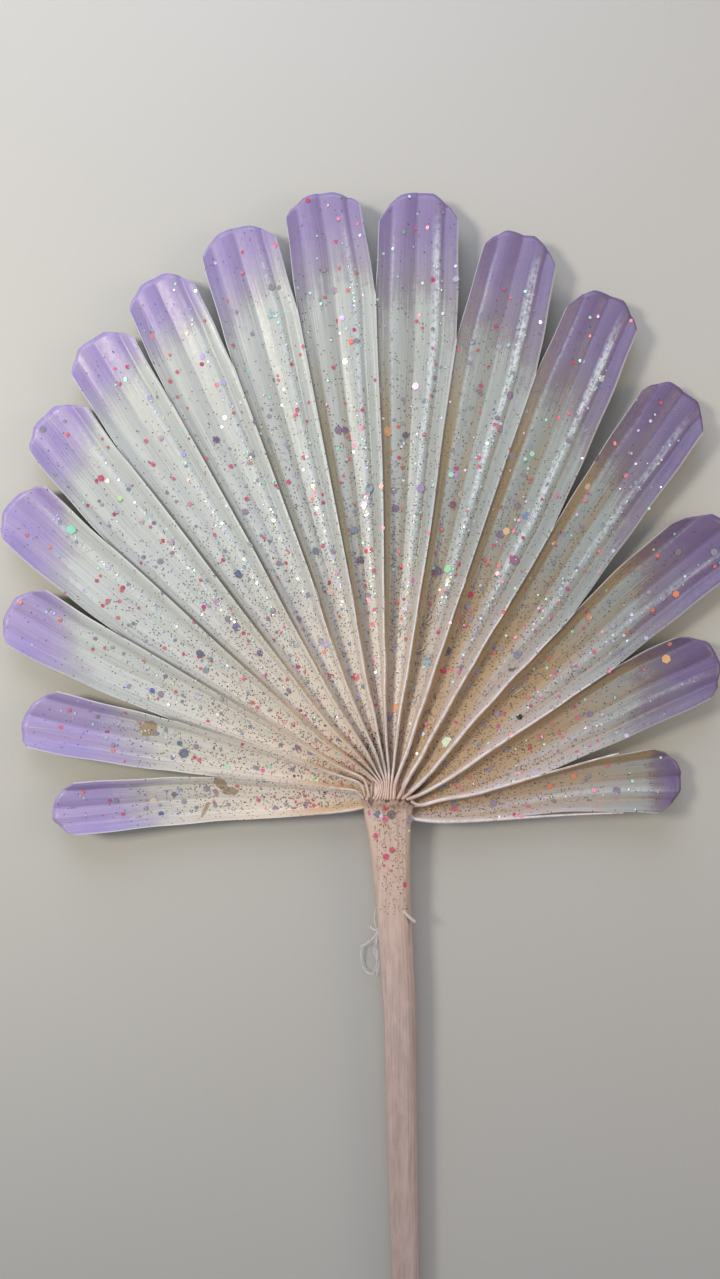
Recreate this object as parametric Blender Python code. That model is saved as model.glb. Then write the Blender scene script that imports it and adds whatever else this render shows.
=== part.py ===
"""A fan palm leaf, cut round and dried: a pleated blade of sixteen segments on its petiole.

The leaf lies on its underside with the petiole along -Y and the tips towards +Y. All sizes are in
millimetres until the last step, which writes the mesh in metres.
"""

import math
import random

import bmesh
import bpy
from mathutils import Matrix

MM = 0.001
SEED = 16

# Hub: the point at the top of the petiole from which the folds fan out. Its place centres the leaf's
# bounding box on the origin.
HUB_X = 5.47
HUB_Y = 31.96
BLADE_START = 5.0

# Folds between segments, from the lower left round to the lower right. Each one is a straight line
# at an angle clockwise from +Y, that passes the hub at a sideways distance, and splits at a radius.
FOLDS = (
    (-95.0, -2.2, 30.0),
    (-85.0, 2.2, 46.0),
    (-72.1, 2.5, 61.5),
    (-59.9, 2.5, 84.5),
    (-48.6, 2.2, 102.5),
    (-38.3, 1.7, 117.0),
    (-29.3, 1.4, 123.0),
    (-20.2, 1.2, 125.5),
    (-10.8, 0.7, 136.0),
    (-1.6, 0.35, 138.0),
    (8.3, 0.3, 127.0),
    (18.9, 0.5, 123.0),
    (29.8, 2.2, 87.0),
    (40.9, 4.4, 72.0),
    (56.0, 4.4, 71.5),
    (74.0, 5.5, 42.0),
    (86.5, 7.2, 30.0),
)
FOLD_OFFSET_FADE = 6.0

# How far some folds stray sideways from that line, as pairs of radius and distance
FOLD_STRAYS = {
    3: ((6.0, -0.3), (20.0, -1.35), (50.0, -0.95), (84.0, -0.7)),
    4: ((8.0, 0.0), (26.0, -1.85), (50.0, -1.4), (102.0, -0.6)),
    5: ((8.0, 0.0), (28.0, -1.7), (50.0, -1.35), (117.0, -0.5)),
    6: ((12.0, 0.0), (32.0, -1.0), (54.0, -0.8), (80.0, -0.25), (123.0, -0.1)),
    7: ((12.0, 0.0), (30.0, -1.05), (44.0, -0.95), (66.0, -0.1), (123.0, 0.0)),
    8: ((16.0, 0.0), (36.0, -0.45), (60.0, 0.1), (120.0, 0.0)),
    9: ((8.0, 0.0), (22.0, -0.6), (40.0, -0.2), (90.0, 0.55), (130.0, 0.0)),
    10: ((6.0, 0.0), (20.0, -0.6), (44.0, 0.0), (76.0, 0.45), (105.0, 0.0)),
    12: ((8.0, 0.0), (26.0, -0.55), (44.0, -0.45), (76.0, 0.3)),
    13: ((8.0, 0.0), (28.0, -0.9), (44.0, -0.5), (56.0, 0.2), (68.0, 0.9)),
    14: ((8.0, 0.2), (36.0, 0.05), (46.0, 0.45), (70.0, 0.45)),
    15: ((6.0, -0.3), (15.0, -1.2), (24.0, -0.4), (42.0, -0.4)),
}

# Scissor-cut ends of the segments: the angle and radius of the left corner, the tip and the right corner
ENDS = (
    (-96.3, 85.4, -92.7, 92.0, -86.7, 85.4),
    (-81.7, 99.1, -78.5, 102.4, -71.8, 94.7),
    (-67.9, 111.9, -63.9, 116.8, -58.5, 109.4),
    (-56.1, 126.4, -52.6, 132.2, -47.5, 127.0),
    (-45.9, 136.2, -42.0, 141.6, -37.5, 135.1),
    (-36.7, 144.7, -33.0, 150.2, -28.8, 143.9),
    (-27.9, 151.0, -24.3, 156.6, -20.5, 150.2),
    (-19.0, 156.4, -15.3, 162.2, -11.3, 156.4),
    (-10.0, 161.0, -6.1, 167.2, -2.7, 163.0),
    (-0.9, 157.8, 2.7, 166.4, 6.9, 159.2),
    (9.8, 153.7, 13.2, 159.4, 17.5, 152.1),
    (19.9, 142.8, 23.7, 151.2, 28.0, 144.7),
    (31.7, 131.0, 35.8, 138.8, 40.7, 131.6),
    (45.7, 107.3, 51.2, 120.0, 56.9, 109.5),
    (60.5, 90.0, 66.3, 98.8, 72.5, 91.5),
    (79.0, 72.9, 85.2, 80.6, 92.7, 72.9),
)
END_FULLNESS = 2.8

# Cross-section of a segment: a valley in the middle, a bowed panel each side and a raised edge. Each
# column has its share of the width, then its shares of the fold's height, of its crest and of the bow.
COLUMNS = (
    (0.0, 1.0, 1.0, 0.0),
    (0.16, 0.34, 0.0, 0.0),
    (0.31, 0.18, 0.0, 1.0),
    (0.48, 0.0, 0.0, 0.0),
    (0.74, 0.3, 0.0, 1.0),
    (0.83, 0.36, 0.0, 0.0),
    (1.0, 1.0, 1.0, 0.0),
)

# Near the hub a segment is a step, steep on its left and gently rising to its right: the shares of the
# fold's height that its columns have there, and the radii between which it turns into a valley
STEP_SHARES = (1.0, 0.2, 0.16, 0.3, 0.58, 0.7, 1.0)
STEP_REACH = (40.0, 85.0)
FOLD_HEIGHT = ((5.0, 1.8), (15.0, 2.6), (60.0, 4.2), (110.0, 3.3), (168.0, 2.0))
FOLD_CREST = ((5.0, 0.4), (40.0, 1.1), (110.0, 0.9), (168.0, 0.8))
PANEL_BOW = ((5.0, 0.0), (30.0, 0.1), (80.0, 0.45), (168.0, 0.9))
ROW_STEP = ((0.0, 5.0), (40.0, 7.5), (200.0, 8.5))
THICKNESS = 0.7
STEEPEST = 2.6
SMOOTH_UNDERSIDE = (8.0, 32.0)

# Underside of the valleys above the surface that the leaf lies on
KEEL_AT_HUB = 4.9
KEEL_IN_FAN = 1.1
HUB_SLOPE_END = 62.0
TIP_LIFT = 3.4
LIFT_START = 0.5
TILT = 1.1
LOW_SPOTS = ((-41.0, 104.0), (38.0, 96.0))
LOW_SPOT_DEPTH = 1.9
LOW_SPOT_RADIUS = 42.0

# Petiole: position along Y and centre X from the hub, half width, underside and thickness
PETIOLE = (
    (-230.3, 6.9, 3.3, 0.0, 6.2),
    (-195.0, 6.2, 3.5, 0.0, 6.4),
    (-132.0, 4.8, 3.7, 0.5, 6.7),
    (-90.0, 3.8, 4.1, 0.9, 7.0),
    (-55.0, 3.0, 4.45, 1.1, 7.2),
    (-28.0, 1.4, 4.7, 1.2, 7.5),
    (-17.0, 0.8, 5.2, 1.3, 7.9),
    (-9.0, 0.2, 5.9, 1.3, 8.3),
    (-2.5, -0.1, 6.8, 1.4, 8.6),
    (-0.1, -0.2, 7.4, 1.6, 8.9),
)
PETIOLE_STEP = 7.0
PETIOLE_SIDES = 20
BELLY_FLAT = 0.5
GROOVE_DEPTH = 0.35
GROOVES = 5

# Hastula: the ragged rim across the top of the petiole, and the nose that the folds grow from
RIM_RAGGED = 0.55
RIM_DROP = 1.5
NOSE = ((1.0, 0.93), (2.2, 0.84), (4.3, 0.66), (6.0, 0.42), (6.9, 0.16))


def read_profile(profile, position):
    """The value of a profile of (position, value) pairs at a position, eased between them."""
    for (start, low), (end, high) in zip(profile, profile[1:]):
        if position <= end:
            share = max(0.0, (position - start) / (end - start))
            return low + (high - low) * ease(share)
    return profile[-1][1]


def ease(share):
    share = min(1.0, max(0.0, share))
    return share * share * (3.0 - 2.0 * share)


def mix(low, high, share):
    return low + (high - low) * share


def place(angle, radius):
    """The plan position of a point given by its angle clockwise from +Y and its distance from the hub."""
    turn = math.radians(angle)
    return HUB_X + radius * math.sin(turn), HUB_Y + radius * math.cos(turn)


def fold_angle(fold, radius):
    """The angle of a fold at a radius: it starts at the hub and swings out to its straight line."""
    far_angle, offset, _ = FOLDS[fold]
    reached = offset * (1.0 - math.exp(-radius / FOLD_OFFSET_FADE))
    if fold in FOLD_STRAYS:
        reached += read_profile(FOLD_STRAYS[fold], radius)
    share = min(0.92, max(-0.92, reached / radius))
    return far_angle + math.degrees(math.asin(share))


def edge_angle(fold, radius, corner_angle, corner_radius):
    """The angle of a segment's edge: on the fold up to the split, then straight to the cut corner."""
    split = FOLDS[fold][2]
    if radius <= split:
        return fold_angle(fold, radius)
    share = min(1.0, (radius - split) / (corner_radius - split))
    return mix(fold_angle(fold, radius), corner_angle, share)


def end_radius(segment, across):
    """How far a segment reaches at a share of its width: low at the corners, furthest at the tip."""
    left_angle, left, tip_angle, tip, right_angle, right = ENDS[segment]
    tip_share = (tip_angle - left_angle) / (right_angle - left_angle)
    if across < tip_share:
        corner = left
        away = 1.0 - across / tip_share
    else:
        corner = right
        away = (across - tip_share) / (1.0 - tip_share)
    return mix(tip, corner, away**END_FULLNESS)


def cross_section(column, radius):
    """Height of a column above the middle valley at a radius."""
    _, fold_share, crest_share, bow_share = COLUMNS[column]
    start, end = STEP_REACH
    fold_share = mix(STEP_SHARES[column], fold_share, ease((radius - start) / (end - start)))
    crest = read_profile(FOLD_CREST, radius)
    fold = read_profile(FOLD_HEIGHT, radius) - crest
    return fold_share * fold + crest_share * crest + bow_share * read_profile(PANEL_BOW, radius)


def reach_at(angle):
    """The radius of the rounded outline at an angle, from the two nearest tips."""
    tips = [(end[2], end[3]) for end in ENDS]
    for (start, low), (end, high) in zip(tips, tips[1:]):
        if angle <= end:
            share = min(1.0, max(0.0, (angle - start) / (end - start)))
            return mix(low, high, share)
    return tips[-1][1]


def keel_height(angle, radius):
    """Underside height of the valleys: high at the hub, low in the fan, lifted at the tips."""
    fall = 1.0 - ease((radius - BLADE_START) / (HUB_SLOPE_END - BLADE_START))
    lift = ease((radius / reach_at(angle) - LIFT_START) / (1.0 - LIFT_START))
    height = KEEL_IN_FAN + (KEEL_AT_HUB - KEEL_IN_FAN) * fall + TIP_LIFT * lift
    x, y = place(angle, radius)
    for spot_angle, spot_radius in LOW_SPOTS:
        spot_x, spot_y = place(spot_angle, spot_radius)
        away = math.hypot(x - spot_x, y - spot_y) / LOW_SPOT_RADIUS
        height -= LOW_SPOT_DEPTH * math.exp(-away * away)
    return max(0.0, height)


def row_radii(last):
    """Radii of the rows of a fan, further apart as the segments widen."""
    radii = [BLADE_START]
    while radii[-1] < last:
        radii.append(radii[-1] + read_profile(ROW_STEP, radii[-1]))
    return radii


def split_row(fold, rows):
    split = FOLDS[fold][2]
    return min(range(len(rows)), key=lambda row: abs(rows[row] - split))


def fold_row_radius(fold, row, rows):
    """A row's radius on a fold: one row is moved so that it ends exactly at the split."""
    return FOLDS[fold][2] if row == split_row(fold, rows) else rows[row]


def segment_rows(segment, rows):
    """How many of the common rows a segment has before the rows of its cut end."""
    ends = ENDS[segment]
    last = max(split_row(segment, rows), split_row(segment + 1, rows))
    while rows[last + 1] < min(ends[1], ends[5]) - 0.6 * read_profile(ROW_STEP, ends[1]):
        last += 1
    return last + 1


def segment_grid(segment, rows, tilt):
    """Plan position, valley height and section height of every point of a segment, row by row."""
    ends = ENDS[segment]
    common = segment_rows(segment, rows)
    split = max(FOLDS[segment][2], FOLDS[segment + 1][2])
    grid = []
    for row in range(common + 2):
        line = []
        for column, (across, *_) in enumerate(COLUMNS):
            if row < common:
                left = fold_row_radius(segment, row, rows)
                right = fold_row_radius(segment + 1, row, rows)
                radius = mix(left, right, across)
            else:
                radius = mix(rows[common - 1], end_radius(segment, across), (row - common + 1) / 2)
            left_edge = edge_angle(segment, radius, ends[0], ends[1])
            right_edge = edge_angle(segment + 1, radius, ends[4], ends[5])
            angle = mix(left_edge, right_edge, across)
            free = ease((radius - split) / (ends[3] - split))
            x, y = place(angle, radius)
            height = keel_height(angle, radius) + free * tilt * (across - 0.5)
            start, end = SMOOTH_UNDERSIDE
            section = cross_section(column, radius)
            hollow = section * ease((radius - start) / (end - start))
            line.append((x, y, height + section, height + hollow))
        grid.append(line)
    return grid


def slope_between(first, second):
    run = math.hypot(second[0] - first[0], second[1] - first[1])
    return abs(second[2] - first[2]) / max(run, 0.05)


def wall_depth(line, column):
    """The blade's depth straight down at a point, so that its thinnest way through is THICKNESS."""
    near = [line[other] for other in (column - 1, column + 1) if 0 <= other < len(line)]
    slope = min(STEEPEST, max(slope_between(line[column], point) for point in near))
    return THICKNESS * math.sqrt(1.0 + slope * slope)


def build_blade():
    """The pleated blade as a closed mesh: an upper and a lower skin with the same triangles."""
    draw = random.Random(SEED)
    rows = row_radii(max(end[3] for end in ENDS))
    mesh = bmesh.new()
    pairs = {}
    faces = []
    for segment in range(len(ENDS)):
        grid = segment_grid(segment, rows, draw.uniform(-TILT, TILT))
        keys = []
        for row, line in enumerate(grid):
            key_line = []
            for column, (x, y, upper, under) in enumerate(line):
                key = (segment, row, column)
                if column == 0 and row <= split_row(segment, rows):
                    key = ("fold", segment, row)
                if column == len(COLUMNS) - 1 and row <= split_row(segment + 1, rows):
                    key = ("fold", segment + 1, row)
                if key not in pairs:
                    depth = wall_depth(line, column)
                    top = mesh.verts.new((x, y, upper + depth))
                    low = mesh.verts.new((x, y, under))
                    pairs[key] = (top, low)
                key_line.append(key)
            keys.append(key_line)
        faces.extend(split_cells(keys))
    boundary = set()
    for one, two, three in faces:
        mesh.faces.new((pairs[one][0], pairs[two][0], pairs[three][0]))
        mesh.faces.new((pairs[three][1], pairs[two][1], pairs[one][1]))
        for start, end in ((one, two), (two, three), (three, one)):
            if (end, start) in boundary:
                boundary.remove((end, start))
            else:
                boundary.add((start, end))
    for start, end in sorted(boundary, key=str):
        (top_start, low_start), (top_end, low_end) = pairs[start], pairs[end]
        mesh.faces.new((top_end, top_start, low_start))
        mesh.faces.new((top_end, low_start, low_end))
    bmesh.ops.recalc_face_normals(mesh, faces=mesh.faces[:])
    return mesh


def split_cells(keys):
    """Each cell of a grid as two triangles, with the diagonals mirrored about the middle valley."""
    triangles = []
    middle = (len(COLUMNS) - 1) // 2
    for near, far in zip(keys, keys[1:]):
        for column in range(len(near) - 1):
            a, b = near[column], near[column + 1]
            d, c = far[column], far[column + 1]
            if column < middle:
                triangles += [(a, b, d), (b, c, d)]
            else:
                triangles += [(a, b, c), (a, c, d)]
    return triangles


def petiole_station(y):
    """Centre, half width, underside and thickness of the petiole at a distance from the hub."""
    for (start, *low), (end, *high) in zip(PETIOLE, PETIOLE[1:]):
        if y <= end:
            share = (y - start) / (end - start)
            return [mix(one, two, share) for one, two in zip(low, high)]
    return list(PETIOLE[-1][1:])


def petiole_ring(y, scale, drop, ragged, draw):
    """One cross-section: flat-bellied below, rounded at the sides, grooved along the top."""
    centre, half, under, thickness = petiole_station(y)
    ring = []
    for side in range(PETIOLE_SIDES):
        turn = 2.0 * math.pi * (side + 0.5) / PETIOLE_SIDES
        across = math.copysign(abs(math.cos(turn)) ** 0.75, math.cos(turn))
        rise = math.copysign(abs(math.sin(turn)) ** 0.85, math.sin(turn))
        upper = max(0.0, rise)
        groove = GROOVE_DEPTH * upper * math.cos(across * GROOVES * math.pi) ** 2
        x = HUB_X + centre + half * scale * across
        z = under - BELLY_FLAT + (thickness + BELLY_FLAT) * 0.5 * (1.0 + rise) - groove - drop * upper
        shift = ragged * draw.uniform(-1.0, 1.0) * upper
        ring.append((x, HUB_Y + y + shift, max(under, z)))
    return ring


def build_petiole():
    """The petiole as a closed loft, with the ragged rim of the hastula and its nose under the folds."""
    draw = random.Random(SEED + 1)
    start, rim = PETIOLE[0][0], PETIOLE[-1][0]
    steps = round((rim - start) / PETIOLE_STEP)
    rings = [petiole_ring(mix(start, rim, step / steps), 1.0, 0.0, 0.0, draw) for step in range(steps)]
    rings.append(petiole_ring(rim, 1.0, -0.3, RIM_RAGGED, draw))
    for forward, scale in NOSE:
        ring = petiole_ring(rim, scale, RIM_DROP, 0.0, draw)
        rings.append([(x, y + forward, mix(KEEL_AT_HUB + 1.0, z, scale)) for x, y, z in ring])
    mesh = bmesh.new()
    loops = [[mesh.verts.new(point) for point in ring] for ring in rings]
    for near, far in zip(loops, loops[1:]):
        for side in range(PETIOLE_SIDES):
            after = (side + 1) % PETIOLE_SIDES
            mesh.faces.new((near[side], near[after], far[after]))
            mesh.faces.new((near[side], far[after], far[side]))
    mesh.faces.new(loops[0])
    mesh.faces.new(loops[-1])
    bmesh.ops.triangulate(mesh, faces=[face for face in mesh.faces if len(face.verts) > 3])
    bmesh.ops.recalc_face_normals(mesh, faces=mesh.faces[:])
    return mesh


def make_object(name, mesh, collection):
    data = bpy.data.meshes.new(name)
    mesh.to_mesh(data)
    mesh.free()
    made = bpy.data.objects.new(name, data)
    collection.objects.link(made)
    return made


def make_material(name, colour, roughness):
    material = bpy.data.materials.new(name)
    material.use_nodes = True
    shader = material.node_tree.nodes["Principled BSDF"]
    shader.inputs["Base Color"].default_value = (*colour, 1.0)
    shader.inputs["Roughness"].default_value = roughness
    shader.inputs["Metallic"].default_value = 0.0
    material.diffuse_color = (*colour, 1.0)
    return material


def fuse(target, tool):
    """Joins two closed bodies into one mesh and removes the second object."""
    union = target.modifiers.new("fuse", "BOOLEAN")
    union.operation = "UNION"
    union.solver = "MANIFOLD"
    union.object = tool
    view = bpy.context.evaluated_depsgraph_get()
    fused = bpy.data.meshes.new_from_object(target.evaluated_get(view))
    target.modifiers.clear()
    target.data = fused
    bpy.data.objects.remove(tool)


def main():
    for old in list(bpy.data.objects):
        bpy.data.objects.remove(old)
    leaf_collection = bpy.data.collections.new("fan_palm_leaf")
    bpy.context.scene.collection.children.link(leaf_collection)
    leaf = make_object("fan_palm_leaf", build_blade(), leaf_collection)
    petiole = make_object("petiole", build_petiole(), leaf_collection)
    fuse(leaf, petiole)
    leaf.data.transform(Matrix.Scale(MM, 4))
    leaf.data.materials.clear()
    leaf.data.materials.append(make_material("painted_leaf", (0.55, 0.53, 0.55), 0.45))


main()
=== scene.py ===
"""Looks of the dried fan palm leaf: the sprayed and glittered blade, its petiole, fibres and light.

Shapes are worked out in millimetres in the leaf's own frame, and written in metres. A place on the blade
is given by a segment, a share across it from its left fold to its right one, and a radius from the hub.
"""

import math
import random

import bpy
from mathutils import Matrix, Vector


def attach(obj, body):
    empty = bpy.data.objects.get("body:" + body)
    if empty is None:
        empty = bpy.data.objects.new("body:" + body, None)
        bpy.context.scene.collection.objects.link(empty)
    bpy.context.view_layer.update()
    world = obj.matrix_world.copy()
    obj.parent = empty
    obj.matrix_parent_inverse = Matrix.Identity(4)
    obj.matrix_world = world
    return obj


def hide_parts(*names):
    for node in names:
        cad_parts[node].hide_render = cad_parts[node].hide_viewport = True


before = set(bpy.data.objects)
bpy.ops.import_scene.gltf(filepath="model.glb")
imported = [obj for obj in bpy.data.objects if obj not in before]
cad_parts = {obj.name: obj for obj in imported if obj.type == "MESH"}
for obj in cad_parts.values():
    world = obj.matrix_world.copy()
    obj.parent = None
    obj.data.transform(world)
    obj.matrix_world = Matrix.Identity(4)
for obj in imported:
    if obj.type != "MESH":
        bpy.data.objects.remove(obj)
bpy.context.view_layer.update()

MM = 0.001
SEED = 16

# Camera: straight above the fan, as a phone held over the table. Then the middle of the photo in pixels, and
# the millimetres that one of them covers on the table
CAMERA_PLACE = (-2.27, 75.72, 265.0)
CAMERA_LENS = 26.64
PHOTO_MIDDLE = (360.0, 639.5)
PHOTO_SCALE = 0.28

# Hub and folds of the leaf, the same values as in the part's source
HUB_X = 5.47
HUB_Y = 31.96
FOLDS = (
    (-95.0, -2.2, 30.0), (-85.0, 2.2, 46.0), (-72.1, 2.5, 61.5), (-59.9, 2.5, 84.5), (-48.6, 2.2, 102.5),
    (-38.3, 1.7, 117.0), (-29.3, 1.4, 123.0), (-20.2, 1.2, 125.5), (-10.8, 0.7, 136.0), (-1.6, 0.35, 138.0),
    (8.3, 0.3, 127.0), (18.9, 0.5, 123.0), (29.8, 2.2, 87.0), (40.9, 4.4, 72.0), (56.0, 4.4, 71.5),
    (74.0, 5.5, 42.0), (86.5, 7.2, 30.0),
)
FOLD_OFFSET_FADE = 6.0
FOLD_STRAYS = {
    3: ((6.0, -0.3), (20.0, -1.35), (50.0, -0.95), (84.0, -0.7)),
    4: ((8.0, 0.0), (26.0, -1.85), (50.0, -1.4), (102.0, -0.6)),
    5: ((8.0, 0.0), (28.0, -1.7), (50.0, -1.35), (117.0, -0.5)),
    6: ((12.0, 0.0), (32.0, -1.0), (54.0, -0.8), (80.0, -0.25), (123.0, -0.1)),
    7: ((12.0, 0.0), (30.0, -1.05), (44.0, -0.95), (66.0, -0.1), (123.0, 0.0)),
    8: ((16.0, 0.0), (36.0, -0.45), (60.0, 0.1), (120.0, 0.0)),
    9: ((8.0, 0.0), (22.0, -0.6), (40.0, -0.2), (90.0, 0.55), (130.0, 0.0)),
    10: ((6.0, 0.0), (20.0, -0.6), (44.0, 0.0), (76.0, 0.45), (105.0, 0.0)),
    12: ((8.0, 0.0), (26.0, -0.55), (44.0, -0.45), (76.0, 0.3)),
    13: ((8.0, 0.0), (28.0, -0.9), (44.0, -0.5), (56.0, 0.2), (68.0, 0.9)),
    14: ((8.0, 0.2), (36.0, 0.05), (46.0, 0.45), (70.0, 0.45)),
    15: ((6.0, -0.3), (15.0, -1.2), (24.0, -0.4), (42.0, -0.4)),
}
ENDS = (
    (-96.3, 85.4, -92.7, 92.0, -86.7, 85.4), (-81.7, 99.1, -78.5, 102.4, -71.8, 94.7),
    (-67.9, 111.9, -63.9, 116.8, -58.5, 109.4), (-56.1, 126.4, -52.6, 132.2, -47.5, 127.0),
    (-45.9, 136.2, -42.0, 141.6, -37.5, 135.1), (-36.7, 144.7, -33.0, 150.2, -28.8, 143.9),
    (-27.9, 151.0, -24.3, 156.6, -20.5, 150.2), (-19.0, 156.4, -15.3, 162.2, -11.3, 156.4),
    (-10.0, 161.0, -6.1, 167.2, -2.7, 163.0), (-0.9, 157.8, 2.7, 166.4, 6.9, 159.2),
    (9.8, 153.7, 13.2, 159.4, 17.5, 152.1), (19.9, 142.8, 23.7, 151.2, 28.0, 144.7),
    (31.7, 131.0, 35.8, 138.8, 40.7, 131.6), (45.7, 107.3, 51.2, 120.0, 56.9, 109.5),
    (60.5, 90.0, 66.3, 98.8, 72.5, 91.5), (79.0, 72.9, 85.2, 80.6, 92.7, 72.9),
)
END_FULLNESS = 2.8
COLUMNS = (
    (0.0, 1.0, 1.0, 0.0), (0.16, 0.34, 0.0, 0.0), (0.31, 0.18, 0.0, 1.0), (0.48, 0.0, 0.0, 0.0),
    (0.74, 0.3, 0.0, 1.0), (0.83, 0.36, 0.0, 0.0), (1.0, 1.0, 1.0, 0.0),
)
STEP_SHARES = (1.0, 0.2, 0.16, 0.3, 0.58, 0.7, 1.0)
STEP_REACH = (40.0, 85.0)
FOLD_HEIGHT = ((5.0, 1.8), (15.0, 2.6), (60.0, 4.2), (110.0, 3.3), (168.0, 2.0))
FOLD_CREST = ((5.0, 0.4), (40.0, 1.1), (110.0, 0.9), (168.0, 0.8))
PANEL_BOW = ((5.0, 0.0), (30.0, 0.1), (80.0, 0.45), (168.0, 0.9))
STEEPEST = 2.6
SMOOTH_UNDERSIDE = (8.0, 32.0)
BLADE_START = 5.0
KEEL_AT_HUB = 4.9
KEEL_IN_FAN = 1.1
HUB_SLOPE_END = 62.0
TIP_LIFT = 3.4
LIFT_START = 0.5
TILT = 1.1
LOW_SPOTS = ((-41.0, 104.0), (38.0, 96.0))
LOW_SPOT_DEPTH = 1.9
LOW_SPOT_RADIUS = 42.0
PETIOLE = (
    (-230.3, 6.9, 3.3, 0.0, 6.2), (-195.0, 6.2, 3.5, 0.0, 6.4), (-132.0, 4.8, 3.7, 0.5, 6.7),
    (-90.0, 3.8, 4.1, 0.9, 7.0), (-55.0, 3.0, 4.45, 1.1, 7.2), (-28.0, 1.4, 4.7, 1.2, 7.5),
    (-17.0, 0.8, 5.2, 1.3, 7.9), (-9.0, 0.2, 5.9, 1.3, 8.3), (-2.5, -0.1, 6.8, 1.4, 8.6),
    (-0.1, -0.2, 7.4, 1.6, 8.9),
)
BELLY_FLAT = 0.5
NOSE = ((1.0, 0.93), (2.2, 0.84), (4.3, 0.66), (6.0, 0.42), (6.9, 0.16))
RIM_DROP = 1.5

# Finer form of the blade: where its columns stand, the spacing of its rows, its true thickness, how round
# its crests are, how sharply it drops on the right of each fold, its small waves, how flat its tips are, and
# where the scissors turned along each tip
FINE_COLUMNS = (
    0.0, 0.012, 0.03, 0.055, 0.085, 0.115, 0.14, 0.16, 0.19, 0.225, 0.265, 0.31, 0.355, 0.4, 0.435, 0.46,
    0.48, 0.5, 0.53, 0.57, 0.615, 0.66, 0.7, 0.74, 0.765, 0.79, 0.81, 0.83, 0.855, 0.89, 0.93, 0.97, 1.0,
)
FINE_START = 3.4
FINE_STEP = 1.7
LEAF_THICKNESS = 0.42
CREST_ROUND = 1.6
FOLD_STEP = 3.2
WAVE_HEIGHT = 0.14
EDGE_WAVE = 0.1
FLAT_TIPS = 0.72
CUT_PLACES = (0.0, 0.1, 0.27, 0.46, 0.66, 0.86, 1.0)

# Lavender at the tips: how far it reaches in from the tip at the left edge, middle and right edge
LAVENDER_REACH = (
    (27.0, 25.0, 23.0), (33.0, 30.0, 26.0), (24.0, 19.0, 14.0), (24.0, 20.0, 12.0), (19.0, 16.0, 10.0),
    (18.0, 15.0, 11.0), (18.0, 16.0, 14.0), (26.0, 18.0, 14.0), (28.0, 20.0, 22.0), (30.0, 24.0, 30.0),
    (30.0, 24.0, 34.0), (28.0, 28.0, 40.0), (26.0, 28.0, 42.0), (22.0, 26.0, 38.0), (18.0, 20.0, 26.0),
    (7.0, 7.0, 8.0),
)

# How strongly each segment's crest shows a painted highlight streak, with the gloss raised along it
STREAKS = (0.1, 0.1, 0.25, 0.5, 0.55, 0.6, 0.55, 0.6, 0.6, 0.85, 1.0, 0.9, 0.5, 0.4, 0.3, 0.5)

# Colours as seen in even light, in sRGB, except those below that are marked as painted shade or highlight
PALE_PAINT = (202, 208, 208)
PALE_GREY = (188, 192, 184)
# Painted shade: the pale paint as the right-hand segments show it in their weaker light
SHADED_PALE = (146, 154, 152)
LAVENDER_PAINT = (158, 142, 203)
LAVENDER_THIN = (168, 151, 198)
# The lavender of the right-hand tips: partly deeper paint, partly painted shade
DEEP_SHADED_LAVENDER = (104, 84, 130)
OLIVE_STRAW = (152, 150, 112)
WARM_STRAW = (212, 174, 126)
PINK_WASH = (242, 225, 208)
# Painted shade: the pink wash and the straw as the right-hand segments show them
PINK_SHADED = (204, 180, 168)
SHADED_STRAW = (178, 143, 92)
# Painted highlight along the crests
PAINTED_HIGHLIGHT_WHITE = (222, 230, 236)
PLUM_MIST = (112, 88, 98)
# Painted shade in the creases beside the folds, and in a pit by the hub
CREASE_SHADE = (66, 66, 62)
BARE_TAN = (180, 162, 138)
PETIOLE_SKIN = (188, 166, 160)
TABLE = (189, 188, 185)


def clamp(share):
    """A share kept between nothing and one."""
    return min(1.0, max(0.0, share))


def ease(share):
    """A share that leaves nothing and reaches one smoothly."""
    share = clamp(share)
    return share * share * (3.0 - 2.0 * share)


def rise(value, start, length):
    """Nothing up to a start, then rising smoothly to one over a length."""
    return ease((value - start) / length)


def fade(value, start, length):
    """One up to a start, then falling smoothly to nothing over a length."""
    return 1.0 - rise(value, start, length)


def hill(position, centre, half_width):
    """One at a centre, falling smoothly to nothing at a distance from it."""
    return ease(1.0 - abs(position - centre) / half_width)


def mix(low, high, share):
    """The value at a share of the way from one value to another."""
    return low + (high - low) * share


def read_profile(profile, position, curve=ease):
    """The value of a profile of (position, value) pairs at a position, eased between them or straight."""
    for (start, low), (end, high) in zip(profile, profile[1:]):
        if position <= end:
            return mix(low, high, curve((position - start) / (end - start)))
    return profile[-1][1]


def linear(colour):
    """An sRGB colour as the linear values that a shader takes."""
    values = [((part / 255.0 + 0.055) / 1.055) ** 2.4 for part in colour]
    return (*values, 1.0)


def place(angle, radius):
    """The plan position at an angle from +Y and a radius from the hub."""
    turn = math.radians(angle)
    return HUB_X + radius * math.sin(turn), HUB_Y + radius * math.cos(turn)


def fold_angle(fold, radius):
    """The angle of a fold at a radius, with its offset and its strays."""
    far_angle, offset, _ = FOLDS[fold]
    reached = offset * (1.0 - math.exp(-radius / FOLD_OFFSET_FADE))
    if fold in FOLD_STRAYS:
        reached += read_profile(FOLD_STRAYS[fold], radius)
    return far_angle + math.degrees(math.asin(min(0.92, max(-0.92, reached / radius))))


def edge_angle(fold, radius, corner_angle, corner_radius):
    """The angle of a segment's edge: on the fold up to the split, then straight to the cut corner."""
    split = FOLDS[fold][2]
    if radius <= split:
        return fold_angle(fold, radius)
    share = min(1.0, (radius - split) / (corner_radius - split))
    wave = EDGE_WAVE * math.sin(radius * 0.31 + fold * 2.1) * ease(3.0 * share)
    return mix(fold_angle(fold, radius), corner_angle, share) + math.degrees(wave / radius)


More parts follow.
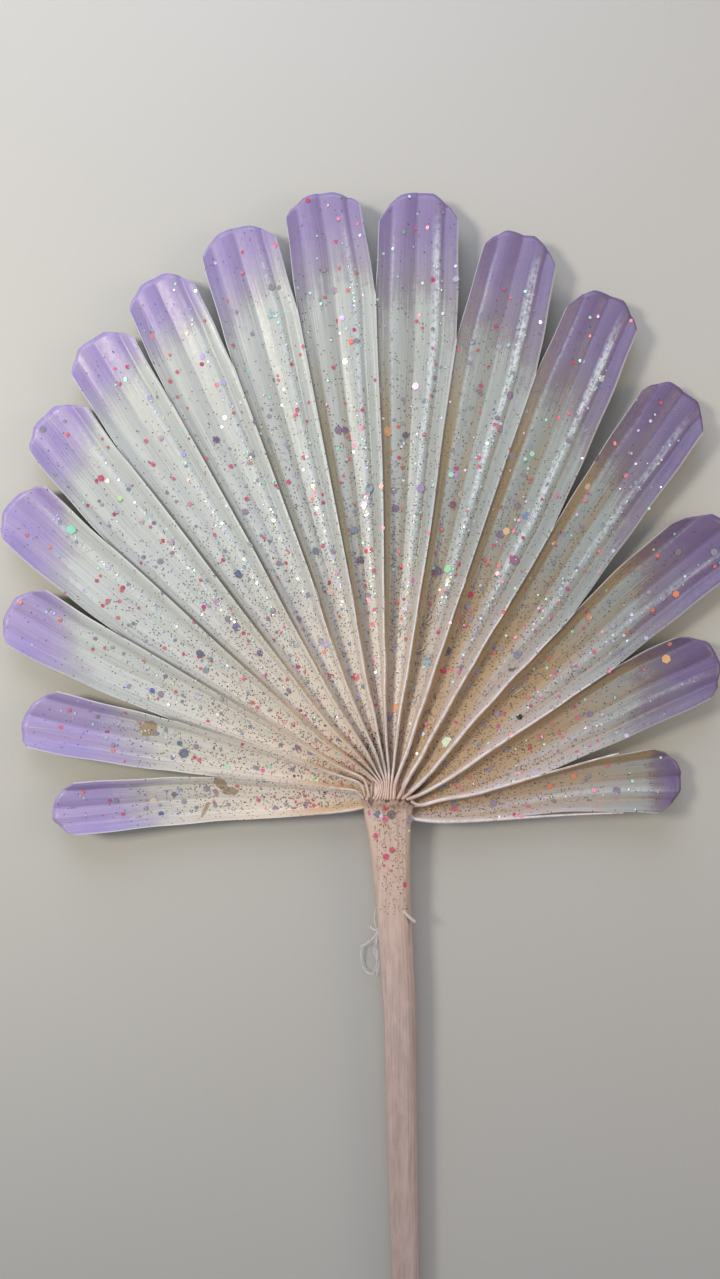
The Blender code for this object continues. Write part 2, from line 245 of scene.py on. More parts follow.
def smooth_end(segment, across):
    """How far the rounded end of a segment reaches at a share of its width."""
    left_angle, left, tip_angle, tip, right_angle, right = ENDS[segment]
    tip_share = (tip_angle - left_angle) / (right_angle - left_angle)
    if across < tip_share:
        return mix(tip, left, (1.0 - across / tip_share) ** END_FULLNESS)
    return mix(tip, right, ((across - tip_share) / (1.0 - tip_share)) ** END_FULLNESS)


def scissor_cuts(segment):
    """The straight cuts that the rounded end was trimmed with, as (across, radius) corners."""
    draw = random.Random(SEED * 100 + segment)
    cuts = []
    for spot in CUT_PLACES:
        inner = 0.0 < spot < 1.0
        across = spot + (draw.uniform(-0.035, 0.035) if inner else 0.0)
        cuts.append((across, smooth_end(segment, across) + (draw.uniform(-0.25, 0.3) if inner else 0.0)))
    return cuts


def section_shares(across, radius):
    """Shares of fold height, crest and bow across a segment: round on the crests, sharp in the valleys."""
    reach_start, reach_end = STEP_REACH
    valley = ease((radius - reach_start) / (reach_end - reach_start))
    for index, (start, end) in enumerate(zip(COLUMNS, COLUMNS[1:])):
        if across <= end[0]:
            along = (across - start[0]) / (end[0] - start[0])
            rising = index % 2 == 1
            share = 1.0 - (1.0 - along) ** CREST_ROUND if rising else along**CREST_ROUND
            shares = [mix(low, high, share) for low, high in zip(start[1:], end[1:])]
            step = mix(STEP_SHARES[index], STEP_SHARES[index + 1], share if index < 2 else along)
            shares[0] = mix(step, shares[0], valley)
            if index == 0:
                shares[1] = (1.0 - along) ** FOLD_STEP
            return shares
    return COLUMNS[-1][1:]


def cross_section(across, radius):
    """Height of the pleat over its valley at a place on a segment."""
    fold_share, crest_share, bow_share = section_shares(across, radius)
    crest = read_profile(FOLD_CREST, radius) * mix(1.0, FLAT_TIPS, rise(radius, 95.0, 45.0))
    fold = read_profile(FOLD_HEIGHT, radius) - crest
    return fold_share * fold + crest_share * crest + bow_share * read_profile(PANEL_BOW, radius)


def keel_height(angle, radius):
    """Height of the valleys: high at the hub, low in the fan, lifted at the tips."""
    fall = fade(radius, BLADE_START, HUB_SLOPE_END - BLADE_START)
    lift = rise(radius / read_profile(TIPS, angle, clamp), LIFT_START, 1.0 - LIFT_START)
    height = KEEL_IN_FAN + (KEEL_AT_HUB - KEEL_IN_FAN) * fall + TIP_LIFT * lift
    x, y = place(angle, radius)
    for spot_angle, spot_radius in LOW_SPOTS:
        spot_x, spot_y = place(spot_angle, spot_radius)
        away = math.hypot(x - spot_x, y - spot_y) / LOW_SPOT_RADIUS
        height -= LOW_SPOT_DEPTH * math.exp(-away * away)
    return max(0.0, height)


def draw_tilts():
    """The small roll of each segment about its length, drawn as in the part's source."""
    draw = random.Random(SEED)
    return [draw.uniform(-TILT, TILT) for _ in ENDS]


TILTS = draw_tilts()
TIPS = [(end[2], end[3]) for end in ENDS]
CUTS = [scissor_cuts(segment) for segment in range(len(ENDS))]


def leaf_point(segment, across, radius):
    """Plan position, valley height and section height of a point of the blade."""
    ends = ENDS[segment]
    left_edge = edge_angle(segment, radius, ends[0], ends[1])
    right_edge = edge_angle(segment + 1, radius, ends[4], ends[5])
    angle = mix(left_edge, right_edge, across)
    split = max(FOLDS[segment][2], FOLDS[segment + 1][2])
    free = ease((radius - split) / (ends[3] - split))
    x, y = place(angle, radius)
    height = keel_height(angle, radius) + free * TILTS[segment] * (across - 0.5)
    wave = WAVE_HEIGHT * math.sin(radius * 0.083 + segment * 1.9 + across * 3.0)
    height += wave * math.sin(math.pi * across) * rise(radius, 25.0, 40.0)
    return x, y, max(0.0, height), cross_section(across, radius)


def leaf_top(segment, across, radius):
    """A point on the upper side of the blade."""
    x, y, keel, section = leaf_point(segment, across, radius)
    return Vector((x, y, keel + section + LEAF_THICKNESS * 1.2))


def leaf_normal(segment, across, radius):
    """The direction that the upper side faces at a point."""
    step = 0.012
    low, high = max(0.0, across - step), min(1.0, across + step)
    over = leaf_top(segment, high, radius) - leaf_top(segment, low, radius)
    along = leaf_top(segment, across, radius + 0.4) - leaf_top(segment, across, radius - 0.4)
    return over.cross(along).normalized()


def fold_rows():
    """Radii of the rows that all segments share."""
    radii = [FINE_START]
    while radii[-1] < 170.0:
        radii.append(radii[-1] + mix(0.9, FINE_STEP, ease((radii[-1] - 4.0) / 14.0)))
    return radii


def split_row(fold, rows):
    """The row where the segments beside a fold part."""
    split = FOLDS[fold][2]
    return min(range(len(rows)), key=lambda row: abs(rows[row] - split))


def fold_row_radius(fold, row, rows):
    """The radius of a row on a fold, moved to the split where they part."""
    return FOLDS[fold][2] if row == split_row(fold, rows) else rows[row]


def segment_grid(segment, rows):
    """Rows of (across, radius) places that cover a segment, from the hub to its cut end."""
    ends = ENDS[segment]
    common = max(split_row(segment, rows), split_row(segment + 1, rows))
    while rows[common + 1] < min(ends[1], ends[5]) - FINE_STEP:
        common += 1
    extra = math.ceil((ends[3] - rows[common]) / FINE_STEP)
    grid = []
    for row in range(common + extra + 1):
        line = []
        for across in FINE_COLUMNS:
            if row <= common:
                left = fold_row_radius(segment, row, rows)
                right = fold_row_radius(segment + 1, row, rows)
                radius = mix(left, right, across)
            else:
                radius = mix(rows[common], read_profile(CUTS[segment], across, clamp), (row - common) / extra)
            line.append((across, radius))
        grid.append(line)
    return grid


def lavender_share(segment, across, radius):
    """How thickly the lavender covers a point: full at the tip, fading over its reach."""
    left, middle, right = LAVENDER_REACH[segment]
    reach = mix(left, middle, across * 2.0) if across < 0.5 else mix(middle, right, across * 2.0 - 1.0)
    inward = ENDS[segment][3] - radius
    late = rise(segment, 6.0, 2.0)
    return 1.0 - ease((inward - mix(0.3, 0.05, late) * reach) / (mix(1.25, 1.6, late) * reach))


def band(across, low, high, soft):
    """One between two places across a segment, fading out over a soft edge beyond them."""
    return ease((across - low + soft) / soft) * ease((high + soft - across) / soft)


def fold_shadow(across, radius, reach):
    """One beside the left fold, falling to nothing at a distance from it in millimetres."""
    width = max(2.0, radius * 0.163)
    return 1.0 - ease((across * width - 0.3 * reach) / (0.7 * reach))


def straw_share(segment, across, radius):
    """How much of the straw shows through: beside the folds, and on the right in broad soft bands."""
    side = rise(segment, 6.0, 2.0)
    lower = rise(segment, 13.0, 2.0)
    beside = fold_shadow(across, radius, mix(1.25, 1.6, side)) * fade(radius, 70.0, 70.0)
    half = mix(0.42, 0.5, hill(segment, 12.5, 3.0))
    half += 0.32 * rise(segment, 9.0, 2.0) * fade(radius, 20.0, 26.0)
    half -= 0.55 * ease(segment - 14.0)
    faint = mix(0.45, 1.0, rise(segment, 8.0, 3.0))
    broad = faint * band(across, 0.0, half, 0.24) * (1.0 - ease((radius - mix(48.0, 34.0, lower)) / 50.0))
    outer = max(
        band(across, 0.0, 0.13, 0.09),
        0.6 * band(across, 0.4, 0.44, 0.12),
        0.5 * band(across, 0.78, 0.82, 0.05),
    ) * mix(0.3, 0.85, side) * fade(radius, 96.0, 46.0)
    fringe = hill(segment, 15.0, 1.5) * band(across, 0.0, 0.4, 0.2) * fade(radius, 50.0, 30.0)
    beside *= mix(0.35, 0.9, max(rise(segment, 1.5, 3.0), fade(radius, 14.0, 20.0)))
    return min(1.0, max(beside, side * broad * mix(0.85, 0.7, lower), outer, 0.6 * fringe))


def warm_share(segment, across, radius):
    """The pink and brown wash round the hub."""
    side = rise(segment, 6.0, 4.0)
    return 1.0 - ease((radius - mix(16.0, 26.0, side)) / mix(72.0, 58.0, side))


def crease_share(segment, across, radius):
    """Painted shade in the crease on the right of each fold while the segments are joined, and in a pit
    between folds by the hub on one right-hand segment; also a dark patch by the hub on the last segment.
    """
    line = fold_shadow(across, radius, 0.85 + 0.4 * hill(segment, 5.5, 2.5) * band(radius, 58.0, 104.0, 14.0))
    gone = ease((radius - FOLDS[segment][2]) / 6.0)
    line *= rise(radius, 30.0, 40.0) * (1.0 - gone)
    pit_shade = hill(segment, 13.0, 1.6) * band(across, 0.3, 0.62, 0.2) * fade(radius, 9.0, 5.0)
    dark_patch = 0.6 * hill(segment, 15.0, 0.5) * band(across, 0.3, 1.0, 0.3) * fade(radius, 7.0, 5.0)
    return max(line, pit_shade, dark_patch)


def speck_share(segment, across, radius):
    """How thickly the finest dark glitter lies."""
    return (1.0 - ease((radius / ENDS[segment][3] - 0.35) / 0.55)) * rise(radius, 5.0, 10.0)


def shade_share(segment, across, radius):
    """Painted shade: how much darker and greyer the colours are made on the segments to the right, where less
    light falls; in the lavender it is partly deeper paint.
    """
    return ease((segment + across - 5.0) / 8.0)


def streak_share(segment, across, radius):
    """Where a long thin highlight streak is painted along the crest, with a second near the left fold on the
    right-hand segments.
    """
    strength = STREAKS[segment]
    centre = mix(0.64, 0.735, rise(radius, 60.0, 80.0))
    reach = radius / ENDS[segment][3]
    half = mix(0.01, 0.024, hill(segment, 10.5, 3.5))
    line = 1.0 - ease((abs(across - centre) - half) / 0.035)
    if segment > 8:
        line = max(line, 0.6 * (1.0 - ease(abs(across - 0.2) / 0.03)))
    return strength * line * rise(reach, 0.3, 0.25) * fade(reach, 0.88, 0.12)


def edge_share(segment, across, radius):
    """The pale rim along a fold or a free edge: partly paint gathered on the edge, partly a painted
    highlight.
    """
    width = max(1.0, radius * 0.16)
    from_edge = min(across, 1.0 - across) * width
    left_inner = ease((6.5 - segment) / 2.0) * fade(radius, 40.0, 30.0)
    return (1.0 - ease(from_edge / mix(0.45, 0.3, ease(radius / 90.0)))) * mix(1.0, 0.25, left_inner)


def build_blade():
    """The blade as one closed skin, with the share of each paint at its points."""
    rows = fold_rows()
    points = []
    masks = []
    marks_and_painted_light = []
    flat_places = []
    numbers = {}
    faces = []
    for segment in range(len(ENDS)):
        grid = segment_grid(segment, rows)
        keys = []
        for row, line in enumerate(grid):
            found = [leaf_point(segment, across, radius) for across, radius in line]
            key_line = []
            for column, (across, radius) in enumerate(line):
                key = (segment, row, column)
                if column == 0 and row <= split_row(segment, rows):
                    key = ("fold", segment, row)
                if column == len(line) - 1 and row <= split_row(segment + 1, rows):
                    key = ("fold", segment + 1, row)
                key_line.append(key)
                if key in numbers:
                    continue
                x, y, keel, section = found[column]
                slope = 0.0
                for other in (column - 1, column + 1):
                    if 0 <= other < len(line):
                        run = math.hypot(found[other][0] - x, found[other][1] - y)
                        climb = found[other][2] + found[other][3] - keel - section
                        slope = max(slope, abs(climb) / max(run, 0.05))
                depth = LEAF_THICKNESS * math.sqrt(1.0 + min(STEEPEST, slope) ** 2)
                start, end = SMOOTH_UNDERSIDE
                hollow = section * ease((radius - start) / (end - start))
                numbers[key] = len(points) // 2
                points.append((x, y, keel + section + depth))
                points.append((x, y, keel + hollow))
                masks.append((
                    lavender_share(segment, across, radius),
                    straw_share(segment, across, radius),
                    warm_share(segment, across, radius),
                    edge_share(segment, across, radius),
                ))
                # Painted crease shade, glitter specks, painted shade on the right-hand segments and the
                # painted highlight streak
                marks_and_painted_light.append((
                    crease_share(segment, across, radius),
                    speck_share(segment, across, radius),
                    shade_share(segment, across, radius),
                    streak_share(segment, across, radius),
                ))
                flat_places.append((segment + across, radius * 0.01))
            keys.append(key_line)
        faces += grid_faces(keys, numbers)
    return points, masks, marks_and_painted_light, flat_places, close_sheet(faces)


def grid_faces(keys, numbers):
    """Two triangles for each cell of a grid of keys, mirrored about the middle valley."""
    triangles = []
    middle = FINE_COLUMNS.index(0.48)
    for near, far in zip(keys, keys[1:]):
        for column in range(len(near) - 1):
            a, b = numbers[near[column]], numbers[near[column + 1]]
            d, c = numbers[far[column]], numbers[far[column + 1]]
            if column < middle:
                triangles += [(a, b, d), (b, c, d)]
            else:
                triangles += [(a, b, c), (a, c, d)]
    return triangles


def close_sheet(triangles):
    """Upper faces, lower faces and walls of a sheet whose points come in pairs, upper then lower."""
    upper = [(2 * a, 2 * b, 2 * c) for a, b, c in triangles]
    lower = [(2 * c + 1, 2 * b + 1, 2 * a + 1) for a, b, c in triangles]
    boundary = {}
    for a, b, c in triangles:
        for start, end in ((a, b), (b, c), (c, a)):
            if (end, start) in boundary:
                del boundary[(end, start)]
            else:
                boundary[(start, end)] = True
    walls = []
    for start, end in boundary:
        walls.append((2 * end, 2 * start, 2 * start + 1))
        walls.append((2 * end, 2 * start + 1, 2 * end + 1))
    return upper, lower, walls


def circle(centre, radius, across, along, sides):
    """A ring of points about a centre, in the plane of two directions."""
    ring = []
    for corner in range(sides):
        turn = 2.0 * math.pi * corner / sides
        ring.append(tuple(centre + radius * (math.cos(turn) * across + math.sin(turn) * along)))
    return ring


def loft(rings):
    """A closed skin through rings that have the same number of points."""
    sides = len(rings[0])
    points = [point for ring in rings for point in ring]
    faces = []
    for first in range(0, len(points) - sides, sides):
        for corner in range(sides):
            a, b = first + corner, first + (corner + 1) % sides
            faces.append((b, a, a + sides, b + sides))
    faces.append(tuple(range(sides)))
    faces.append(tuple(reversed(range(len(points) - sides, len(points)))))
    return points, faces


def make_piece(name, points, faces, materials, face_materials=None, smooth=True):
    """A mesh object from points in millimetres, riding on the leaf."""
    data = bpy.data.meshes.new(name)
    data.from_pydata([(x * MM, y * MM, z * MM) for x, y, z in points], [], faces)
    for material in materials:
        data.materials.append(material)
    if face_materials:
        data.polygons.foreach_set("material_index", face_materials)
    data.polygons.foreach_set("use_smooth", [smooth] * len(data.polygons))
    data.update()
    piece = bpy.data.objects.new(name, data)
    bpy.context.scene.collection.objects.link(piece)
    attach(piece, "root")
    return piece


class Nodes:
    """A short way to write a material's node tree. Colours are given in sRGB."""

    def __init__(self, name):
        self.material = bpy.data.materials.new(name)
        self.material.use_nodes = True
        self.tree = self.material.node_tree
        self.shader = self.tree.nodes["Principled BSDF"]
        self.spot = self.add("ShaderNodeTexCoord").outputs["Object"]

    def add(self, kind, inputs=(), **settings):
        node = self.tree.nodes.new(kind)
        for key, value in settings.items():
            setattr(node, key, value)
        for socket, value in dict(inputs).items():
            self.set(node.inputs[socket], value)
        return node

    def set(self, socket, value):
        if isinstance(value, bpy.types.NodeSocket):
            self.tree.links.new(value, socket)
        else:
            socket.default_value = value

    def math(self, operation, first, second):
        return self.add("ShaderNodeMath", {0: first, 1: second}, operation=operation).outputs[0]

    def times(self, first, second):
        return self.math("MULTIPLY", first, second)

    def plus(self, first, second):
        return self.math("ADD", first, second)

    def ramp(self, value, low, high, to_low=0.0, to_high=1.0):
        """A value carried smoothly from one range to another."""
        inputs = {"Value": value, "From Min": low, "From Max": high, "To Min": to_low, "To Max": to_high}
        return self.add("ShaderNodeMapRange", inputs, interpolation_type="SMOOTHSTEP").outputs[0]

    def mix(self, share, first, second):
        node = self.add("ShaderNodeMix", data_type="RGBA")
        self.set(node.inputs[0], share)
        for socket, colour in ((6, first), (7, second)):
            self.set(node.inputs[socket], linear(colour) if isinstance(colour, tuple) else colour)
        return node.outputs[2]

    def noise(self, place, scale, detail=2.0, roughness=0.5):
        inputs = {"Vector": place, "Scale": scale, "Detail": detail, "Roughness": roughness}
        return self.add("ShaderNodeTexNoise", inputs).outputs[0]

    def stretch(self, place, scale):
        return self.add("ShaderNodeMapping", {"Vector": place, "Scale": scale}).outputs[0]

    def bump(self, height, strength, distance):
        inputs = {"Height": height, "Strength": strength, "Distance": distance}
        self.set(self.shader.inputs["Normal"], self.add("ShaderNodeBump", inputs).outputs[0])

    def gloss(self, roughness, coat=0.0, coat_roughness=0.1, metallic=0.0):
        self.set(self.shader.inputs["Roughness"], roughness)
        self.shader.inputs["Coat Weight"].default_value = coat
        self.shader.inputs["Coat Roughness"].default_value = coat_roughness
        self.shader.inputs["Metallic"].default_value = metallic

    def finish(self, colour, bump, gloss):
        """Give the shader its colour, bump and gloss, and hand over the material."""
        self.set(self.shader.inputs["Base Color"], colour)
        self.bump(*bump)
        self.gloss(*gloss)
        return self.material


# Bare chips in the paint: place, half length, half width, turn, in millimetres and degrees
CHIPS = (
    ((-60.6, 51.0), 2.6, 2.2, 20.0),
    ((-40.5, 36.0), 2.2, 1.5, -50.0),
    ((-38.0, 33.8), 2.3, 1.2, 5.0),
    ((-45.0, 28.8), 2.3, 0.6, 65.0),
    ((97.9, 61.8), 1.2, 0.9, 20.0),
)


def painted_top():
    """Sprayed paint over the veined blade: pale, lavender at the tips, straw where it is thin, painted shade
    and highlights.
    """
    nodes = Nodes("sprayed_blade")
    spot = nodes.spot
    flat = nodes.add("ShaderNodeUVMap", uv_map="unrolled").outputs[0]
    paint = nodes.add("ShaderNodeAttribute", attribute_name="paint")
    shares = nodes.add("ShaderNodeSeparateColor", {0: paint.outputs["Color"]})
    lavender, straw, warm = shares.outputs[0], shares.outputs[1], shares.outputs[2]
    rim = paint.outputs["Alpha"]
    marks_and_painted_light = nodes.add("ShaderNodeAttribute", attribute_name="marks_and_painted_light")
    found = nodes.add("ShaderNodeSeparateColor", {0: marks_and_painted_light.outputs["Color"]})
    crease, specks, shade = found.outputs[0], found.outputs[1], found.outputs[2]
    streak = marks_and_painted_light.outputs["Alpha"]

    mist = nodes.noise(spot, 2600.0, 3.0, 0.7)
    droplets = nodes.noise(spot, 900.0, 2.0, 0.6)
    veins = nodes.noise(nodes.stretch(flat, (46.0, 3.2, 1.0)), 1.0, 3.0, 0.6)
    broad = nodes.noise(nodes.stretch(flat, (9.0, 5.0, 1.0)), 1.0, 2.0, 0.5)
    patches = nodes.noise(spot, 45.0, 3.0, 0.6)

    speckle = nodes.math("SUBTRACT", nodes.plus(mist, nodes.times(veins, 0.8)), 0.9)
    straw_edge = nodes.plus(straw, nodes.times(speckle, 0.5))
    straw_cover = nodes.ramp(straw_edge, 0.08, 1.0, 0.0, 0.86)
    straw_colour = nodes.mix(warm, OLIVE_STRAW, WARM_STRAW)
    pale = nodes.mix(nodes.ramp(patches, 0.35, 0.7, 0.0, 0.4), PALE_PAINT, PALE_GREY)
    # Painted shade: the pale paint, the pink wash and the straw turn darker and greyer on the right-hand
    # segments
    pale = nodes.mix(shade, pale, SHADED_PALE)
    wash = nodes.mix(shade, PINK_WASH, PINK_SHADED)
    pale = nodes.mix(nodes.times(warm, 0.8), pale, wash)
    straw_colour = nodes.mix(nodes.times(shade, 0.85), straw_colour, SHADED_STRAW)
    colour = nodes.mix(straw_cover, pale, straw_colour)
    mottle = nodes.math("SUBTRACT", nodes.plus(nodes.noise(spot, 190.0, 3.0, 0.65), broad), 1.0)
    violet_edge = nodes.plus(lavender, nodes.times(speckle, 0.7))
    violet_edge = nodes.plus(violet_edge, nodes.times(mottle, 0.5))
    thin_edge = nodes.times(nodes.ramp(violet_edge, 0.05, 0.4), nodes.ramp(violet_edge, 0.45, 0.8, 1.0, 0.0))
    # The plum of thin lavender over straw is stronger on the right-hand segments, as part of the painted
    # shade
    colour = nodes.mix(nodes.times(thin_edge, nodes.ramp(shade, 0.0, 1.0, 0.2, 0.6)), colour, PLUM_MIST)
    violet_cover = nodes.ramp(violet_edge, 0.05, 0.95)
    violet = nodes.mix(nodes.ramp(broad, 0.3, 0.7), LAVENDER_PAINT, LAVENDER_THIN)
    # Lavender darker on the right-hand segments: partly deeper paint, partly painted shade
    violet = nodes.mix(shade, violet, DEEP_SHADED_LAVENDER)
    colour = nodes.mix(violet_cover, colour, violet)
    grain = nodes.ramp(veins, 0.3, 0.7, 0.0, 0.28)
    colour = nodes.mix(grain, colour, (122, 116, 112))
    # Paint gathered on the folds and free edges, with a painted highlight along them
    colour = nodes.mix(nodes.times(rim, 0.7), colour, (218, 220, 222))
    # Painted shade: a dark line in the crease beside each fold, and the dark pit and patch by the hub
    colour = nodes.mix(nodes.times(crease, 0.8), colour, CREASE_SHADE)
    # Painted highlight: a broken near-white streak along the crests, where the gloss is raised too
    broken = nodes.times(streak, nodes.ramp(nodes.plus(droplets, veins), 0.75, 1.15, 0.15, 1.0))
    colour = nodes.mix(nodes.times(broken, 0.9), colour, PAINTED_HIGHLIGHT_WHITE)
    colour = nodes.mix(fine_specks(nodes, spot, specks), colour, (62, 54, 48))
    colour, bare = paint_chips(nodes, spot, droplets, colour)
    nodes.set(nodes.shader.inputs["Base Color"], colour)

    height = nodes.plus(veins, nodes.times(mist, 0.3))
    height = nodes.math("SUBTRACT", height, nodes.times(bare, 0.6))
    nodes.bump(height, 0.5, 0.0002)
    rough = nodes.ramp(droplets, 0.3, 0.7, 0.36, 0.5)
    nodes.gloss(nodes.math("SUBTRACT", rough, nodes.times(broken, 0.15)), 0.16, 0.26)
    return nodes.material


def fine_specks(nodes, spot, density):
    """Dust of dark glitter, too fine for flakes of their own."""
    cells = nodes.add("ShaderNodeTexVoronoi", {"Vector": spot, "Scale": 1000.0})
    dots = nodes.ramp(cells.outputs["Distance"], 0.15, 0.26, 1.0, 0.0)
    chance = nodes.add("ShaderNodeSeparateColor", {0: cells.outputs["Color"]}).outputs[0]
    chosen = nodes.math("LESS_THAN", chance, nodes.times(density, 0.9))
    return nodes.times(nodes.times(dots, chosen), 0.85)


def paint_chips(nodes, spot, droplets, colour):
    """Where paint has flaked off, the bare tan leaf shows with its grain."""
    bare = None
    for (x, y), length, width, turn in CHIPS:
        moved = nodes.add("ShaderNodeMapping", {
            "Vector": spot,
            "Location": (x * MM, y * MM, 0.0),
            "Rotation": (0.0, 0.0, math.radians(turn)),
            "Scale": (length * MM, width * MM, 1.0),
        }, vector_type="TEXTURE").outputs[0]
        flat = nodes.stretch(moved, (1.0, 1.0, 0.0))
        away = nodes.add("ShaderNodeVectorMath", {0: flat}, operation="LENGTH").outputs["Value"]
        torn = nodes.plus(away, nodes.times(droplets, 0.9))
        chip = nodes.ramp(torn, 1.38, 1.46, 1.0, 0.0)
        bare = chip if bare is None else nodes.math("MAXIMUM", bare, chip)
    grain = nodes.noise(nodes.stretch(spot, (2600.0, 700.0, 1.0)), 1.0, 2.0, 0.5)
    tan = nodes.mix(grain, BARE_TAN, (144, 126, 104))
    return nodes.mix(bare, colour, tan), bare


def straw_underside():
    """The leaf's own straw colour below, with veins and a little overspray."""
    nodes = Nodes("straw_underside")
    spot = nodes.spot
    flat = nodes.add("ShaderNodeUVMap", uv_map="unrolled").outputs[0]
    veins = nodes.noise(nodes.stretch(flat, (60.0, 2.6, 1.0)), 1.0, 3.0, 0.6)
    patches = nodes.noise(spot, 60.0, 4.0, 0.6)
    mist = nodes.noise(spot, 1800.0, 2.0, 0.6)
    straw = nodes.mix(veins, (196, 184, 140), (150, 136, 96))
    spray = nodes.times(nodes.ramp(patches, 0.5, 0.72), nodes.ramp(mist, 0.4, 0.6))
    colour = nodes.mix(nodes.times(spray, 0.5), straw, (200, 194, 198))
    return nodes.finish(colour, (veins, 0.5, 0.0002), (nodes.ramp(veins, 0.3, 0.7, 0.45, 0.6),))


def cut_edge():
    """The pale scissor-cut edge of the blade."""
    nodes = Nodes("cut_edge")
    spot = nodes.spot
    grain = nodes.noise(spot, 1500.0, 2.0, 0.6)
    return nodes.finish(nodes.mix(grain, (214, 212, 208), (178, 168, 168)), (grain, 0.4, 0.0001), (0.5,))


def add_blade():
    """The pleated blade with its paint, in place of the plain solid."""
    points, masks, marks_and_painted_light, flat_places, (upper, lower, walls) = build_blade()
    faces = upper + lower + walls
    slots = [0] * len(upper) + [1] * len(lower) + [2] * len(walls)
    blade = make_piece("blade", points, faces, [painted_top(), straw_underside(), cut_edge()], slots)
    data = blade.data
    for name, shares in (("paint", masks), ("marks_and_painted_light", marks_and_painted_light)):
        layer = data.attributes.new(name, "FLOAT_COLOR", "POINT")
        values = []
        for share in shares:
            values += list(share) * 2
        layer.data.foreach_set("color", values)
    layer = data.uv_layers.new(name="unrolled")
    corners = [0] * len(data.loops)
    data.loops.foreach_get("vertex_index", corners)
    places = []
    for corner in corners:
        places += flat_places[corner // 2]
    layer.data.foreach_set("uv", places)
    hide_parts("fan_palm_leaf")


def petiole_station(y):
    """Centre X, half width, underside and thickness of the petiole at a place along it."""
    for (start, *low), (end, *high) in zip(PETIOLE, PETIOLE[1:]):
        if y <= end:
            share = (y - start) / (end - start)
            return [mix(one, two, share) for one, two in zip(low, high)]
    return list(PETIOLE[-1][1:])


def petiole_height(under, thickness, share):
    """Height of the petiole's skin at a share from one below to one above."""
    return under - BELLY_FLAT + (thickness + BELLY_FLAT) * 0.5 * (1.0 + share)


def top_share(x, centre, half):
    """How high the petiole's upper side stands at a place across it, as a share."""
    across = min(0.98, abs(x - centre) / half)
    return math.sin(math.acos(across ** (1.0 / SIDE_FULLNESS))) ** TOP_FULLNESS


# Finer form of the petiole: its rings and grooves, how full its sides and top are, and how far the torn rim
# of the hastula stands forward at places across it
PETIOLE_SIDES = 120
PETIOLE_STEP = 1.5
GROOVE_DEPTH = 0.16
GROOVES = 5
SIDE_FULLNESS = 0.75
TOP_FULLNESS = 0.85
RIM_BITES = (
    (-7.4, 0.2), (-6.8, 0.7), (-6.3, -0.1), (-5.8, 0.4), (-5.2, -0.5), (-4.7, -1.7), (-4.2, -0.3),
    (-3.6, 0.5), (-3.1, 0.1), (-2.5, 0.9), (-1.9, 0.2), (-1.3, 0.6), (-0.7, -0.6), (-0.1, 0.5), (0.5, 0.0),
    (1.1, 0.8), (1.8, 0.3), (2.4, 0.9), (3.0, -0.4), (3.6, 0.3), (4.2, 0.7), (4.8, -0.3), (5.4, -0.6),
    (6.0, -1.7), (6.6, -2.2), (7.4, -3.1),
)


def petiole_ring(y, scale=1.0, drop=0.0, torn=0.0):
    """One cross-section of the petiole, flat-bellied below and finely grooved above."""
    centre, half, under, thickness = petiole_station(y)
    ring = []
    for side in range(PETIOLE_SIDES):
        turn = 2.0 * math.pi * (side + 0.5) / PETIOLE_SIDES
        across = math.copysign(abs(math.cos(turn)) ** SIDE_FULLNESS, math.cos(turn))
        up = math.copysign(abs(math.sin(turn)) ** TOP_FULLNESS, math.sin(turn))
        upper = max(0.0, up)
        drift = 0.5 * math.sin(y * 0.013)
        groove = GROOVE_DEPTH * upper * math.cos(across * GROOVES * math.pi + drift) ** 2
        groove += 0.05 * upper * math.sin(across * 31.0 + 0.02 * y)
        x = centre + half * scale * across
        z = petiole_height(under, thickness, up) - groove - drop * upper
        forward = torn * upper**0.5 * read_profile(RIM_BITES, x, clamp)
        ring.append((HUB_X + x, HUB_Y + y + forward, max(under, z)))
    return ring


def add_petiole():
    """The stalk: fine grooves, the cut end below and the torn rim of the hastula above."""
    start, rim = PETIOLE[0][0], PETIOLE[-1][0]
    steps = round((rim - start) / PETIOLE_STEP)
    rings = [petiole_ring(start, 0.965)]
    rings += [petiole_ring(mix(start + 0.25, rim, step / steps)) for step in range(steps - 2)]
    rings.append(petiole_ring(rim - 2.6, torn=0.25))
    rings.append(petiole_ring(rim - 1.2, torn=0.6))
    rings.append(petiole_ring(rim, torn=1.0, drop=-0.2))
    rings.append([(x, y + 0.1, z) for x, y, z in petiole_ring(rim, 0.985, 0.5, 1.0)])
    rings.append(petiole_ring(rim, 0.97, RIM_DROP, 0.6))
    for forward, scale in NOSE:
        ring = petiole_ring(rim, scale, RIM_DROP)
        rings.append([(x, y + forward, mix(KEEL_AT_HUB + 1.0, z, scale)) for x, y, z in ring])
    points, faces = loft(rings)
    crown = (len(rings) - len(NOSE) - 2) * PETIOLE_SIDES
    slots = [0] * crown + [2] * (len(faces) - 2 - crown) + [1, 0]
    petiole = make_piece("petiole", points, faces, [petiole_skin(), cut_pith(), hub_crown()], slots)
    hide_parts("fan_palm_leaf")


